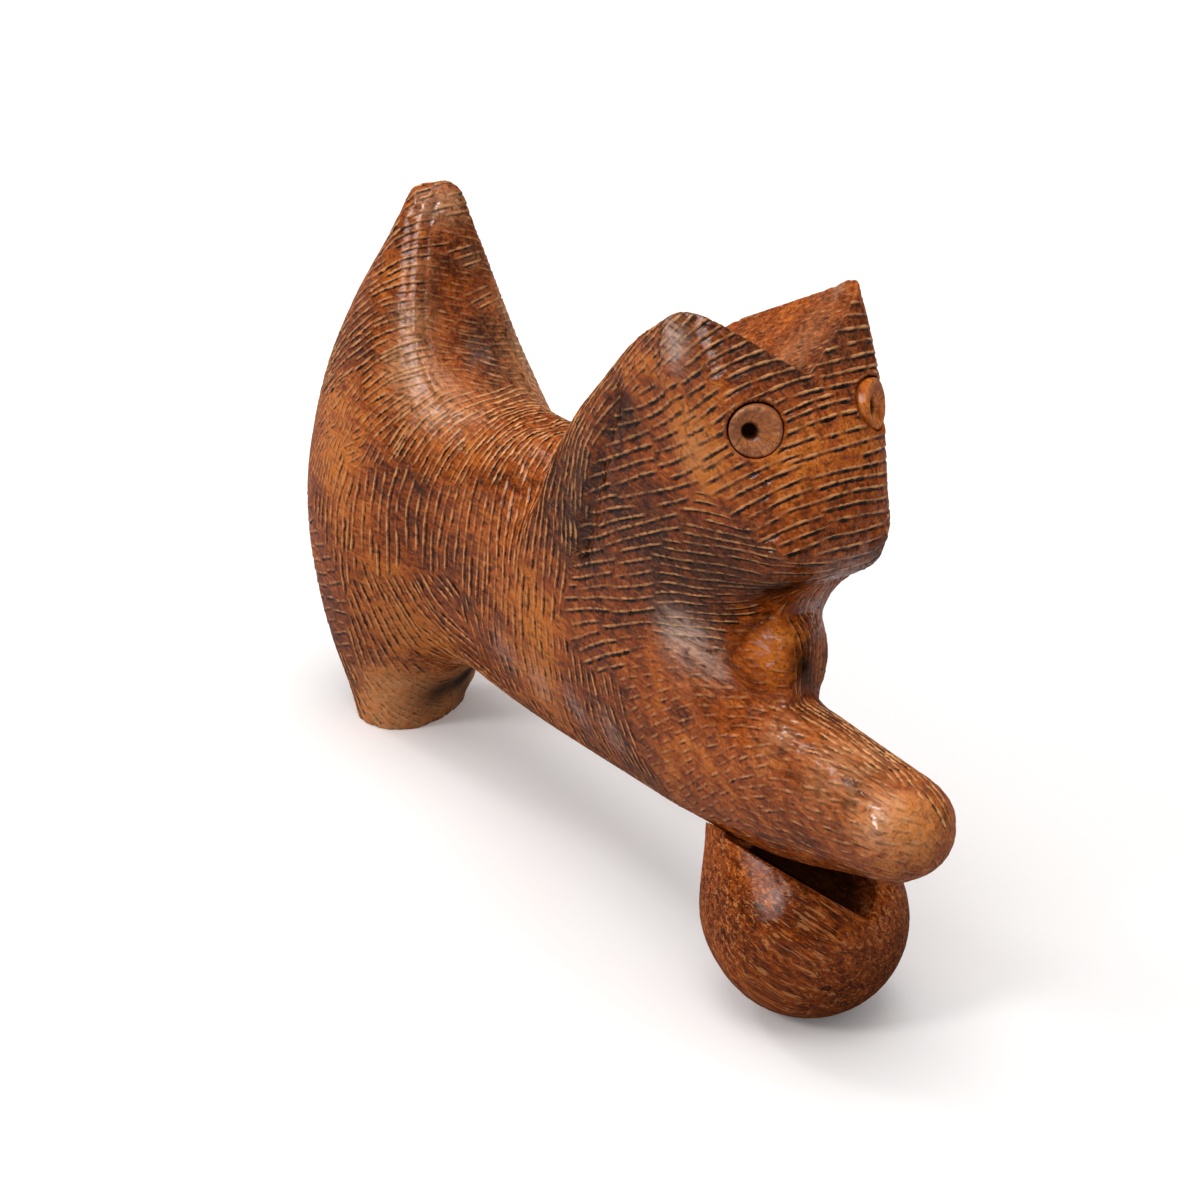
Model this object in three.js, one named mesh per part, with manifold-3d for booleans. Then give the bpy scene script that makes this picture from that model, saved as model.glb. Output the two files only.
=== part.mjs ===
// Carved wooden cat at play: one carved block, two turned eyes, and a ball pegged under the right foreleg.
// The cat looks along -Y, its right side is -X, and it stands on Z = 0. Lengths are in millimetres, angles in
// degrees. The finished group is moved so that the origin is the middle of its footprint.
import * as THREE from 'three';
import { mergeVertices } from 'three/addons/utils/BufferGeometryUtils.js';
import Module from 'manifold-3d';

// Main sizes: from the paw to the rump, through the plank that the cat is cut from, and up to the ears. Places and
// forms below are shares of them.
const LENGTH = 212.5;
const THICKNESS = 43;
const HEIGHT = 126.5;

// Fit between pieces that touch.
const CLEARANCE = 0.3;

// Station of an upright form: its height, its centre across and along the cat, its half width and half depth.
function upright(at, x, along, wide, deep) {
  return {
    at: at * HEIGHT,
    x: x * THICKNESS,
    along: along * LENGTH,
    wide: wide * THICKNESS,
    deep: deep * LENGTH,
  };
}

// Station of a level form: its place along the cat, its centre across and up, its half width and half height.
function level(at, x, along, wide, deep) {
  return {
    at: at * LENGTH,
    x: x * THICKNESS,
    along: along * HEIGHT,
    wide: wide * THICKNESS,
    deep: deep * HEIGHT,
  };
}

// Rear: one upright form from the hind feet through the rump to the tail tip.
const REAR = [
  upright(0.024, -0.105, 0.649, 0.284, 0.045),
  upright(0.142, -0.07, 0.671, 0.358, 0.083),
  upright(0.332, -0.035, 0.668, 0.43, 0.118),
  upright(0.49, -0.012, 0.661, 0.384, 0.12),
  upright(0.664, -0.012, 0.641, 0.314, 0.082),
  upright(0.842, -0.012, 0.624, 0.14, 0.026),
];
const REAR_SQUARENESS = 2.4;

// Hollow along the front of the tail, with a crisp ridge on the right side.
const HOLLOW_X = -0.221 * THICKNESS;
const HOLLOW_LOW_Y = 0.436 * LENGTH;
const HOLLOW_LOW_Z = 0.625 * HEIGHT;
const HOLLOW_HIGH_Y = 0.52 * LENGTH;
const HOLLOW_HIGH_Z = 0.909 * HEIGHT;
const HOLLOW_HALF = 0.19 * HEIGHT;
const HOLLOW_EDGE = 4;

// Trunk and right foreleg: one level form from the paw, over the ball, back to the rump.
const REACH = [
  level(-0.169, -0.221, 0.403, 0.233, 0.07),
  level(-0.047, -0.209, 0.373, 0.244, 0.106),
  level(0.085, -0.151, 0.344, 0.267, 0.123),
  level(0.226, -0.035, 0.357, 0.326, 0.186),
  level(0.424, -0.023, 0.381, 0.36, 0.229),
  level(0.612, -0.023, 0.364, 0.349, 0.198),
];
const REACH_SQUARENESS = 2.2;

// Neck: an upright form from the chest into the head.
const NECK = [
  upright(0.364, -0.047, 0.188, 0.291, 0.136),
  upright(0.522, -0.081, 0.146, 0.291, 0.132),
  upright(0.68, -0.07, 0.141, 0.349, 0.139),
];
const NECK_SQUARENESS = 2.2;

// Left foreleg: tucked up against the chest, so that only a short stub shows.
const STUB_ROOT_Y = 0.122 * LENGTH;
const STUB_TIP_Y = 0.009 * LENGTH;
const STUB_X = -0.116 * THICKNESS;
const STUB_Z = 0.508 * HEIGHT;
const STUB_HALF = 0.071 * HEIGHT;
const STUB_END_Y = -0.012 * LENGTH;
const STUB_END_TURN = 28;
const STUB_EDGE = 3;

// Head: flat cheeks, jowls drawn in a little to a broad chin, a face in two halves that leans back, a sloped
// forehead, and a nape that is cut back further on the right side than on the left.
const HEAD_X = -0.047 * THICKNESS;
const CHEEK_HALF = 0.405 * THICKNESS;
const CHEEK_Y = 0.047 * LENGTH;
const CHEEK_Z = 0.779 * HEIGHT;
const JOWL_TURN = 85;
const JOWL_LIFT = -12;
const FACE_TURN = 38;
const FACE_LEAN = 10;
const NOSE_Y = -0.027 * LENGTH;
const CHIN_Z = 0.648 * HEIGHT;
const CHIN_LIFT = -64;
const FOREHEAD_Y = 0.013 * LENGTH;
const FOREHEAD_LIFT = 38;
const EAR_TIP_Y = 0.066 * LENGTH;
const EAR_TIP_Z = 1.043 * HEIGHT;
const NAPE_Y = 0.198 * LENGTH;
const NAPE_Z = 0.901 * HEIGHT;
const NAPE_TURN = -154.5;
const NAPE_LIFT = 43;
const COLLAR_ASIDE = -0.349 * THICKNESS;
const COLLAR_Y = 0.296 * LENGTH;
const COLLAR_Z = 0.648 * HEIGHT;
const COLLAR_TURN = -122;
const COLLAR_LIFT = 18;
const BACK_Y = 0.32 * LENGTH;
const BACK_LIFT = 20;
const HEAD_EDGE = 5.5;

// Cut between the ears: a V along the top of the head that falls towards the nape.
const NOTCH_Z = 0.909 * HEIGHT;
const NOTCH_FALL = 27;
const NOTCH_RISE = 41;
const NOTCH_ROLL = 1;
const NOTCH_LENGTH = 0.424 * LENGTH;
const NOTCH_OVERRUN = 0.094 * LENGTH;

// Eyes: turned discs with a dished face and a blind pupil hole, pressed into drilled sockets.
const EYE_HALF_SPACING = 0.293 * THICKNESS;
const EYE_Y = 0;
const EYE_Z = 0.858 * HEIGHT;
const EYE_DIAMETER = 9;
const EYE_THICKNESS = 4;
const EYE_PROUD = -0.1;
const EYE_RIM = 0.7;
const EYE_BEVEL = 0.4;
const EYE_DISH = 0.9;
const PUPIL_DIAMETER = 3.4;
const PUPIL_DEPTH = 2.2;

// Ball: rests on a small flat and is joined to the leg by a thick stem behind its middle.
const BALL_DIAMETER = 35;
const BALL_X = -0.07 * THICKNESS;
const BALL_Y = -0.009 * LENGTH;
const BALL_FLAT = 0.6;
const STEM_BACK = 9;
const STEM_ASIDE = -2.5;
const STEM_HALF = 11;
const STEM_TOP = 0.277 * HEIGHT;
const STEM_BLEND = 6;
const STEM_EDGE = 4;

// Slot: the cut of a round blade that parts the ball from the leg on the right side, in front of the stem.
const SLOT_TURN = -31;
const SLOT_LIFT = 24;
const SLOT_ROLL = 29.5;
const SLOT_RADIUS = 21;
const SLOT_ALONG = -9.5;
const SLOT_OUT = 25;
const SLOT_FLOOR = 5.1;
const SLOT_HEIGHT = 16;

// Peg: a plain dowel through the stem into the leg.
const PEG_DIAMETER = 6;
const PEG_LENGTH = 19;
const PEG_CHAMFER = 0.8;
const PEG_BACK = 12.5;
const PEG_IN_BALL = 9.5;

// Carving: how softly the limbs run into each other, and the width of one facet.
const LIMB_BLEND = 20;
const NECK_BLEND = 10;
const STUB_BLEND = 1;
const HEAD_BLEND = 7;
const FACET = 3.4;
const BALL_FACET = 2.2;
const ROUND_SIDES = 48;

const wasm = await Module();
wasm.setup();

const { degToRad, clamp } = THREE.MathUtils;

// Smooth union and smooth intersection of two distances, rounded over the given width.
function blend(a, b, width) {
  const near = Math.max(width - Math.abs(a - b), 0) / width;
  return Math.min(a, b) - (near * near * width) / 4;
}

function trim(a, b, width) {
  return -blend(-a, -b, width);
}

// Distance to a bar with round ends.
function bar(from, to, half) {
  const line = new THREE.Line3(new THREE.Vector3(...from), new THREE.Vector3(...to));
  const nearest = new THREE.Vector3();
  return (point) => line.closestPointToPoint(point, true, nearest).distanceTo(point) - half;
}

// Direction given by a turn from -Y about Z and a lift from level.
function direction(turn, lift) {
  const turned = degToRad(turn);
  const lifted = degToRad(lift);
  return new THREE.Vector3(
    Math.sin(turned) * Math.cos(lifted),
    -Math.cos(turned) * Math.cos(lifted),
    Math.sin(lifted),
  );
}

// Distance to a plane through a point.
function plane(through, turn, lift) {
  const normal = direction(turn, lift);
  const offset = -normal.dot(new THREE.Vector3(...through));
  return (point) => normal.dot(point) + offset;
}

// Distance to a form lofted through stations along one axis ('y' or 'z'). Its width lies across the cat and its
// depth along the other axis, and squareness 2 makes each section an ellipse.
function loft(axis, stations, squareness) {
  const other = axis === 'z' ? 'y' : 'z';
  const first = stations[0].at;
  const last = stations[stations.length - 1].at;
  const shape = new THREE.CubicInterpolant(
    stations.map((station) => station.at),
    stations.flatMap((station) => [station.x, station.along, station.wide, station.deep]),
    4,
  );
  return (point) => {
    const travel = clamp(point[axis], first, last);
    const [x, along, wide, deep] = shape.evaluate(travel);
    const halves = [wide, deep, Math.min(wide, deep)];
    const offsets = [point.x - x, point[other] - along, point[axis] - travel];
    const parts = offsets.map((offset, k) => Math.abs(offset) / halves[k]);
    const size = parts.reduce((total, part) => total + part ** squareness, 0) ** (1 / squareness);
    if (size === 0) {
      return -halves[2];
    }
    const scale = size ** (1 - squareness);
    const slope = Math.hypot(...parts.map((part, k) => (part ** (squareness - 1) * scale) / halves[k]));
    return (size - 1) / slope;
  };
}

// Space that a loft takes up, its rounded ends included.
function loftBox(axis, stations) {
  const other = axis === 'z' ? 'y' : 'z';
  const box = new THREE.Box3();
  for (const station of stations) {
    const end = Math.min(station.wide, station.deep);
    for (const side of [-1, 1]) {
      const corner = new THREE.Vector3();
      corner.x = station.x + side * station.wide;
      corner[other] = station.along + side * station.deep;
      corner[axis] = station.at + side * end;
      box.expandByPoint(corner);
    }
  }
  return box;
}

const haunch = loft('z', REAR, REAR_SQUARENESS);
const hollow = bar([HOLLOW_X, HOLLOW_LOW_Y, HOLLOW_LOW_Z], [HOLLOW_X, HOLLOW_HIGH_Y, HOLLOW_HIGH_Z], HOLLOW_HALF);
const reach = loft('y', REACH, REACH_SQUARENESS);
const neck = loft('z', NECK, NECK_SQUARENESS);
const forearm = bar([STUB_X, STUB_ROOT_Y, STUB_Z], [STUB_X, STUB_TIP_Y, STUB_Z], STUB_HALF);
const forearmEnd = plane([STUB_X, STUB_END_Y, STUB_Z], STUB_END_TURN, 0);

const headPlanes = [
  plane([HEAD_X, NOSE_Y, EYE_Z], 0, FACE_LEAN),
  plane([HEAD_X, FOREHEAD_Y, NOTCH_Z], 0, FOREHEAD_LIFT),
  plane([HEAD_X, NOSE_Y, CHIN_Z], 0, CHIN_LIFT),
  plane([HEAD_X, EAR_TIP_Y, EAR_TIP_Z], 180, 90 - NOTCH_FALL),
  plane([HEAD_X, NAPE_Y, NAPE_Z], NAPE_TURN, NAPE_LIFT),
  plane([HEAD_X + COLLAR_ASIDE, COLLAR_Y, COLLAR_Z], COLLAR_TURN, COLLAR_LIFT),
  plane([HEAD_X, BACK_Y, COLLAR_Z], 180, BACK_LIFT),
  ...[-1, 1].flatMap((side) => [
    plane([HEAD_X + side * EYE_HALF_SPACING, EYE_Y, EYE_Z], side * FACE_TURN, FACE_LEAN),
    plane([HEAD_X + side * CHEEK_HALF, CHEEK_Y, CHEEK_Z], side * 90, 0),
    plane([HEAD_X + side * CHEEK_HALF, CHEEK_Y, CHEEK_Z], side * JOWL_TURN, JOWL_LIFT),
  ]),
];

function head(point) {
  return headPlanes.map((cut) => cut(point)).reduce((distance, cut) => trim(distance, cut, HEAD_EDGE));
}

function cat(point) {
  const rear = trim(haunch(point), -hollow(point), HOLLOW_EDGE);
  let distance = blend(rear, reach(point), LIMB_BLEND);
  distance = blend(distance, neck(point), NECK_BLEND);
  distance = blend(distance, trim(forearm(point), forearmEnd(point), STUB_EDGE), STUB_BLEND);
  return blend(distance, head(point), HEAD_BLEND);
}

const catBox = loftBox('z', REAR).union(loftBox('y', REACH)).union(loftBox('z', NECK));
catBox.expandByPoint(new THREE.Vector3(HEAD_X - CHEEK_HALF, NOSE_Y, EAR_TIP_Z));
catBox.expandByPoint(new THREE.Vector3(HEAD_X + CHEEK_HALF, BACK_Y, COLLAR_Z));
catBox.expandByScalar(LIMB_BLEND / 2 + FACET * 2);

const ballCentre = new THREE.Vector3(BALL_X, BALL_Y, BALL_DIAMETER / 2 - BALL_FLAT);
const stemX = BALL_X + STEM_ASIDE;
const stemY = BALL_Y + STEM_BACK;
const stem = bar([stemX, stemY, ballCentre.z], [stemX, stemY, STEM_TOP], STEM_HALF);

// The ball and its stem, cut off where the leg begins. Only the part under the leg counts.
function ball(point) {
  const round = point.distanceTo(ballCentre) - BALL_DIAMETER / 2;
  const whole = blend(round, stem(point), STEM_BLEND);
  const below = point.z - STEM_TOP;
  return trim(whole, below, STEM_EDGE);
}

const ballBox = new THREE.Box3().setFromCenterAndSize(ballCentre, new THREE.Vector3().setScalar(BALL_DIAMETER));
ballBox.expandByPoint(new THREE.Vector3(stemX - STEM_HALF, stemY - STEM_HALF, STEM_TOP));
ballBox.expandByPoint(new THREE.Vector3(stemX + STEM_HALF, stemY + STEM_HALF, STEM_TOP));
ballBox.expandByScalar(STEM_BLEND / 2 + BALL_FACET * 2);

// Wraps the zero surface of a distance field in quads, one for each grid edge that the surface crosses. Each quad
// is split along the diagonal that lies nearer to the surface.
function skin(field, box, step) {
  const low = box.min;
  const count = box.getSize(new THREE.Vector3()).divideScalar(step).ceil().addScalar(1).toArray();
  const at = (i, j, k) => (k * count[1] + j) * count[0] + i;
  const values = new Float64Array(count[0] * count[1] * count[2]);
  const point = new THREE.Vector3();
  for (let k = 0; k < count[2]; k += 1) {
    for (let j = 0; j < count[1]; j += 1) {
      for (let i = 0; i < count[0]; i += 1) {
        values[at(i, j, k)] = field(point.set(i, j, k).multiplyScalar(step).add(low));
      }
    }
  }
  const axes = [[1, 0, 0], [0, 1, 0], [0, 0, 1]];
  const corners = [];
  for (let corner = 0; corner < 8; corner += 1) {
    corners.push([corner & 1, (corner >> 1) & 1, (corner >> 2) & 1]);
  }
  const edges = corners.flatMap((corner, c) => [0, 1, 2].filter((a) => !corner[a]).map((a) => [c, c | (1 << a)]));
  const gradient = new THREE.Vector3();
  const probe = step / 50;
  const settle = (place) => {
    for (let turn = 0; turn < 4; turn += 1) {
      const here = field(place);
      gradient.set(
        field(point.copy(place).setX(place.x + probe)) - here,
        field(point.copy(place).setY(place.y + probe)) - here,
        field(point.copy(place).setZ(place.z + probe)) - here,
      ).divideScalar(probe);
      place.addScaledVector(gradient, -here / Math.max(gradient.lengthSq(), 0.2));
    }
  };
  const vertices = [];
  const cellVertex = new Int32Array(values.length).fill(-1);
  for (let k = 0; k + 1 < count[2]; k += 1) {
    for (let j = 0; j + 1 < count[1]; j += 1) {
      for (let i = 0; i + 1 < count[0]; i += 1) {
        const place = new THREE.Vector3();
        let crossings = 0;
        for (const [a, b] of edges) {
          const start = corners[a];
          const end = corners[b];
          const valueA = values[at(i + start[0], j + start[1], k + start[2])];
          const valueB = values[at(i + end[0], j + end[1], k + end[2])];
          if (valueA < 0 !== valueB < 0) {
            const share = valueA / (valueA - valueB);
            place.add(new THREE.Vector3(...start).lerp(new THREE.Vector3(...end), share));
            crossings += 1;
          }
        }
        if (crossings) {
          place.divideScalar(crossings).add(point.set(i, j, k)).multiplyScalar(step).add(low);
          settle(place);
          cellVertex[at(i, j, k)] = vertices.length / 3;
          vertices.push(...place.toArray());
        }
      }
    }
  }
  const start = new THREE.Vector3();
  const end = new THREE.Vector3();
  const bulge = (a, b) => {
    start.fromArray(vertices, a * 3);
    end.fromArray(vertices, b * 3);
    return Math.abs(field(start.lerp(end, 0.5)));
  };
  const triangles = [];
  for (let k = 1; k + 1 < count[2]; k += 1) {
    for (let j = 1; j + 1 < count[1]; j += 1) {
      for (let i = 1; i + 1 < count[0]; i += 1) {
        const inside = values[at(i, j, k)] < 0;
        for (let axis = 0; axis < 3; axis += 1) {
          const ahead = axes[axis];
          const u = axes[(axis + 1) % 3];
          const v = axes[(axis + 2) % 3];
          if (inside !== values[at(i + ahead[0], j + ahead[1], k + ahead[2])] < 0) {
            const quad = [
              cellVertex[at(i, j, k)],
              cellVertex[at(i - u[0], j - u[1], k - u[2])],
              cellVertex[at(i - u[0] - v[0], j - u[1] - v[1], k - u[2] - v[2])],
              cellVertex[at(i - v[0], j - v[1], k - v[2])],
            ];
            const [a, b, c, d] = inside ? quad : quad.reverse();
            if (bulge(a, c) <= bulge(b, d)) {
              triangles.push(a, b, c, a, c, d);
            } else {
              triangles.push(b, c, d, b, d, a);
            }
          }
        }
      }
    }
  }
  const geometry = new THREE.BufferGeometry();
  geometry.setAttribute('position', new THREE.BufferAttribute(new Float32Array(vertices), 3));
  geometry.setIndex(triangles);
  return geometry;
}

function solid(geometry) {
  const bare = geometry.clone();
  bare.deleteAttribute('normal');
  bare.deleteAttribute('uv');
  const merged = mergeVertices(bare, 1e-4);
  return new wasm.Manifold(new wasm.Mesh({
    numProp: 3,
    vertProperties: new Float32Array(merged.attributes.position.array),
    triVerts: new Uint32Array(merged.index.array),
  }));
}

function surface(manifold) {
  const mesh = manifold.getMesh();
  const geometry = new THREE.BufferGeometry();
  geometry.setAttribute('position', new THREE.BufferAttribute(mesh.vertProperties, 3));
  geometry.setIndex(new THREE.BufferAttribute(mesh.triVerts, 1));
  geometry.computeVertexNormals();
  return geometry;
}

// Solid turned about Z from [radius, height] points that start and end on the axis.
function turned(profile) {
  const shape = new THREE.LatheGeometry(profile.map(([r, z]) => new THREE.Vector2(r, z)), ROUND_SIDES);
  return shape.rotateX(Math.PI / 2);
}

function cylinder(diameter, bottom, top) {
  const radius = diameter / 2;
  return turned([[0, bottom], [radius, bottom], [radius, top], [0, top]]);
}

// Block that removes all that lies below the floor.
function floorBlock() {
  const size = catBox.getSize(new THREE.Vector3());
  const middle = catBox.getCenter(new THREE.Vector3());
  const depth = -catBox.min.z;
  const block = new THREE.BoxGeometry(size.x, size.y, depth);
  return solid(block.translate(middle.x, middle.y, -depth / 2));
}

function earNotch() {
  const half = CHEEK_HALF * 2;
  const rise = half * Math.tan(degToRad(NOTCH_RISE));
  const profile = new THREE.Shape([[0, 0], [half, rise], [-half, rise]].map(([x, z]) => new THREE.Vector2(x, z)));
  const cut = new THREE.ExtrudeGeometry(profile, { depth: NOTCH_LENGTH, bevelEnabled: false });
  cut.rotateX(Math.PI / 2).translate(0, NOTCH_LENGTH - NOTCH_OVERRUN, 0);
  cut.rotateY(degToRad(NOTCH_ROLL)).rotateX(-degToRad(NOTCH_FALL));
  return solid(cut.translate(HEAD_X, FOREHEAD_Y, NOTCH_Z));
}

// Where a line that comes in along a direction meets the cat.
function touchdown(target, outward, distance) {
  const point = new THREE.Vector3();
  let outside = distance;
  let inside = -distance;
  while (outside - inside > CLEARANCE / 100) {
    const middle = (outside + inside) / 2;
    if (cat(point.copy(target).addScaledVector(outward, middle)) > 0) {
      outside = middle;
    } else {
      inside = middle;
    }
  }
  return point.copy(target).addScaledVector(outward, inside);
}

// Frame of an eye: its Z axis points out of the face and its origin lies on the wood.
function eyeFrame(side) {
  const outward = direction(side * FACE_TURN, FACE_LEAN);
  const target = new THREE.Vector3(HEAD_X + side * EYE_HALF_SPACING, EYE_Y, EYE_Z);
  const place = touchdown(target, outward, EYE_DIAMETER);
  const turn = new THREE.Quaternion().setFromUnitVectors(new THREE.Vector3(0, 0, 1), outward);
  return new THREE.Matrix4().compose(place, turn, new THREE.Vector3(1, 1, 1));
}

function eyeShape() {
  const radius = EYE_DIAMETER / 2;
  const pupil = PUPIL_DIAMETER / 2;
  const back = EYE_PROUD - EYE_THICKNESS;
  const dish = EYE_PROUD - EYE_DISH;
  return turned([
    [0, back],
    [radius, back],
    [radius, EYE_PROUD - EYE_BEVEL],
    [radius - EYE_BEVEL, EYE_PROUD],
    [radius - EYE_BEVEL - EYE_RIM, EYE_PROUD],
    [pupil, dish],
    [pupil, dish - PUPIL_DEPTH],
    [0, dish - PUPIL_DEPTH],
  ]);
}

function eyeSocket() {
  const floor = EYE_PROUD - EYE_THICKNESS - CLEARANCE;
  return cylinder(EYE_DIAMETER + CLEARANCE * 2, floor, EYE_DIAMETER);
}

// The slot's frame: X runs along it, Y up across it, and Z out of the ball towards the right side.
function slotCut() {
  const disc = new THREE.CylinderGeometry(SLOT_RADIUS, SLOT_RADIUS, SLOT_HEIGHT, ROUND_SIDES);
  disc.translate(SLOT_ALONG, SLOT_FLOOR + SLOT_HEIGHT / 2, SLOT_OUT);
  disc.rotateZ(-degToRad(SLOT_ROLL)).rotateX(Math.PI / 2 - degToRad(SLOT_LIFT)).rotateZ(degToRad(SLOT_TURN));
  return solid(disc.translate(...ballCentre.toArray()));
}

const pegY = BALL_Y + PEG_BACK;
const pegSeat = touchdown(new THREE.Vector3(stemX, pegY, STEM_TOP), new THREE.Vector3(0, 0, -1), STEM_TOP);
const pegBottom = pegSeat.z - PEG_IN_BALL;
const pegTop = pegBottom + PEG_LENGTH;

function pegShape() {
  const radius = PEG_DIAMETER / 2;
  return turned([
    [0, pegBottom],
    [radius - PEG_CHAMFER, pegBottom],
    [radius, pegBottom + PEG_CHAMFER],
    [radius, pegTop - PEG_CHAMFER],
    [radius - PEG_CHAMFER, pegTop],
    [0, pegTop],
  ]).translate(stemX, pegY, 0);
}

const pegBore = solid(
  cylinder(PEG_DIAMETER + CLEARANCE * 2, pegBottom - CLEARANCE, pegTop + CLEARANCE).translate(stemX, pegY, 0),
);

const group = new THREE.Group();

function add(name, geometry, colour, roughness) {
  const material = new THREE.MeshStandardMaterial({ color: colour, roughness, metalness: 0 });
  const mesh = new THREE.Mesh(geometry, material);
  mesh.name = name;
  group.add(mesh);
}

let carved = solid(skin(cat, catBox, FACET)).subtract(floorBlock()).subtract(earNotch()).subtract(pegBore);
const eyes = [['right_eye', -1], ['left_eye', 1]].map(([name, side]) => {
  const frame = eyeFrame(side);
  carved = carved.subtract(solid(eyeSocket().applyMatrix4(frame)));
  return { name, shape: eyeShape().applyMatrix4(frame) };
});
add('cat_body', surface(carved), 0x8a4a22, 0.45);
for (const eye of eyes) {
  add(eye.name, surface(solid(eye.shape)), 0xa8683c, 0.4);
}

const leg = solid(skin((point) => cat(point) - CLEARANCE, catBox, FACET));
const rounded = solid(skin(ball, ballBox, BALL_FACET)).subtract(floorBlock());
add('ball', surface(rounded.subtract(leg).subtract(slotCut()).subtract(pegBore)), 0x7a3f20, 0.4);
add('ball_peg', surface(solid(pegShape())), 0xb98a5a, 0.6);

const footprint = new THREE.Box3().setFromObject(group).getCenter(new THREE.Vector3());
for (const mesh of group.children) {
  mesh.geometry.translate(-footprint.x, -footprint.y, 0);
}

export default group;
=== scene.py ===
"""Looks of the carved wooden cat: tooled body, turned eyes, smooth ball, soft white studio."""

import math
import random
from itertools import product

import bmesh
import bpy
import numpy as np
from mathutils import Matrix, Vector, kdtree
from mathutils.bvhtree import BVHTree


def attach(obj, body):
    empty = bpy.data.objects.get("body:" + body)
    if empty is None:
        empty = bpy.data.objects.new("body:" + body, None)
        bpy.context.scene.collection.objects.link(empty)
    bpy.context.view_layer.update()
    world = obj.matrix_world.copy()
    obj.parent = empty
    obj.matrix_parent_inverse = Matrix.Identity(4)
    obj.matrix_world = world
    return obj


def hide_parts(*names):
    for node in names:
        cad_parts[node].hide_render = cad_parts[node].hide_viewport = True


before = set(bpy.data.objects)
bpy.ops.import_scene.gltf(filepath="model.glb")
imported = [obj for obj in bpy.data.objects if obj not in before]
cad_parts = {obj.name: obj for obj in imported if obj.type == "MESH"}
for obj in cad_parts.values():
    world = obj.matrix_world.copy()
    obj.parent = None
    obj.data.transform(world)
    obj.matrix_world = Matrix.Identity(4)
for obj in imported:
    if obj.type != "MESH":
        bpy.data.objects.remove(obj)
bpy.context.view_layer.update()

# Lengths are in millimetres unless a comment says otherwise.
MM = 0.001
MIRROR = np.array((-1, 1, 1))

# Camera: the photograph's place and lens, for a square frame of FRAME_PIXELS. Clip distances in metres.
FRAME_PIXELS = 1200
AZIMUTH = -31
ELEVATION = 24
DISTANCE = 700
TARGET = np.array((-16.8, -18.42, 63.1))
LENS = 120
SENSOR = 36
CLIP_NEAR = 0.01
CLIP_FAR = 50

# Mesh of the carved pieces. Close to a sharp edge of the solid the smoothing fades to a least share.
BODY_VOXEL = 0.26
BALL_VOXEL = 0.3
BODY_ROUNDS = 40
BALL_ROUNDS = 30
SMOOTH_RATE = 0.5
WELD = 0.001
SHARP_ANGLE = 55
SHARP_STEP = 0.3
SHARP_NEAR = 0.5
SHARP_FAR = 2.2
SHARP_LEAST = 0.04

# Layout of the gouge strokes. A stroke stops or starts at a share of the gap from the next one. Its length,
# the part of it ahead of its start and its pressure are drawn between two shares.
STROKE_SEED = 11
STROKE_STEP = 0.4
STROKE_STOP = 0.45
STROKE_START = 0.95
STROKE_LEAST = 2.4
STROKE_FADE = 1.4
STROKE_LENGTHS = (0.45, 1.0)
STROKE_AHEAD = (0.25, 0.75)
STROKE_PRESS = (0.7, 1.1)
START_EVERY = 37
BESIDE_EVERY = 4
BESIDE_FAR = 1.2
GRID_CELL = 1.6
ARC_RANGE = 900

# Direction field of the strokes: reach of a turned face, border between patches and wobble (size and seed).
FIELD_CHUNK = 20000
FACING_REACH = 14
NEAR_SCORE = 1.0
BORDER_NOISE = 0.22
BORDER_SIZE = 8
BORDER_SEED = 50
WOBBLE = 0.06
LONG_WOBBLE = (9, 21)
SHORT_WOBBLE = (3.5, 22)
SHORT_SHARE = 0.5
OVER_BACK = 0.7

# Section of a stroke, in shares of the gap: a board that ends in a thin burr, then a narrow groove.
STEEP = 0.15
BURR_PLACE = -0.05
BURR_HALF = 0.085
BURR_SHARE = 0.22
GROOVE_PLACE = 0.17
GROOVE_HALF = 0.125
GROOVE_SHARE = 0.8
GROOVE_EVEN = 0.5
GROOVE_LAPPED = 0.9
EVEN_HALF = 0.2
EVEN_SHARE = 0.6

# Unevenness of the strokes: pressure along them, soft ends, beads on the burr, ticks across and fine stipple.
PRESS_MEAN = 0.85
PRESS_SWING = 0.4
PRESS_SIZE = 1.3
PRESS_LIMITS = (0.2, 1.35)
PRESS_SEED = 31
STROKE_ENDING = 0.35
FULL_RISE = 0.22
BEAD_LENGTH = 0.8
BEAD_BAND = 5
BEAD_LEAST = 0.5
BEAD_SEED = 6
TICK_LENGTH = 1.7
TICK_WIDTH = 0.55
TICK_BAND = 9
TICK_DEPTH = 0.045
TICK_FROM = 0.6
TICK_SPAN = 0.18
TICK_SEED = 5
STIPPLE_SIZE = 0.75
STIPPLE_DEPTH = 0.05
STIPPLE_SEED = 8

# Multipliers that mix the cell numbers of the rough noise.
HASH_CELL = (73856093, 19349663, 83492791)
HASH_SEED = 15485863
HASH_MIX = (2246822519, 3266489917)
HASH_BITS = 0xFFFFFFFF
HASH_LOW = 0xFFFF


def unit(v):
    return v / np.linalg.norm(v, axis=-1, keepdims=True)


def camera_axes():
    """The directions right, up and back of the camera."""
    turn = math.radians(AZIMUTH)
    lift = math.radians(ELEVATION)
    back = np.array((math.sin(turn) * math.cos(lift), -math.cos(turn) * math.cos(lift), math.sin(lift)))
    right = np.array((math.cos(turn), math.sin(turn), 0))
    return right, np.cross(back, right), back


RIGHT, UP, BACK = camera_axes()
EYE_POINT = TARGET + BACK * DISTANCE


def pixel_ray(px, py):
    """Direction from the camera through a pixel of the square frame."""
    scale = SENSOR / LENS / FRAME_PIXELS
    middle = FRAME_PIXELS / 2
    return unit(RIGHT * (px - middle) * scale + UP * (middle - py) * scale - BACK)


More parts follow.
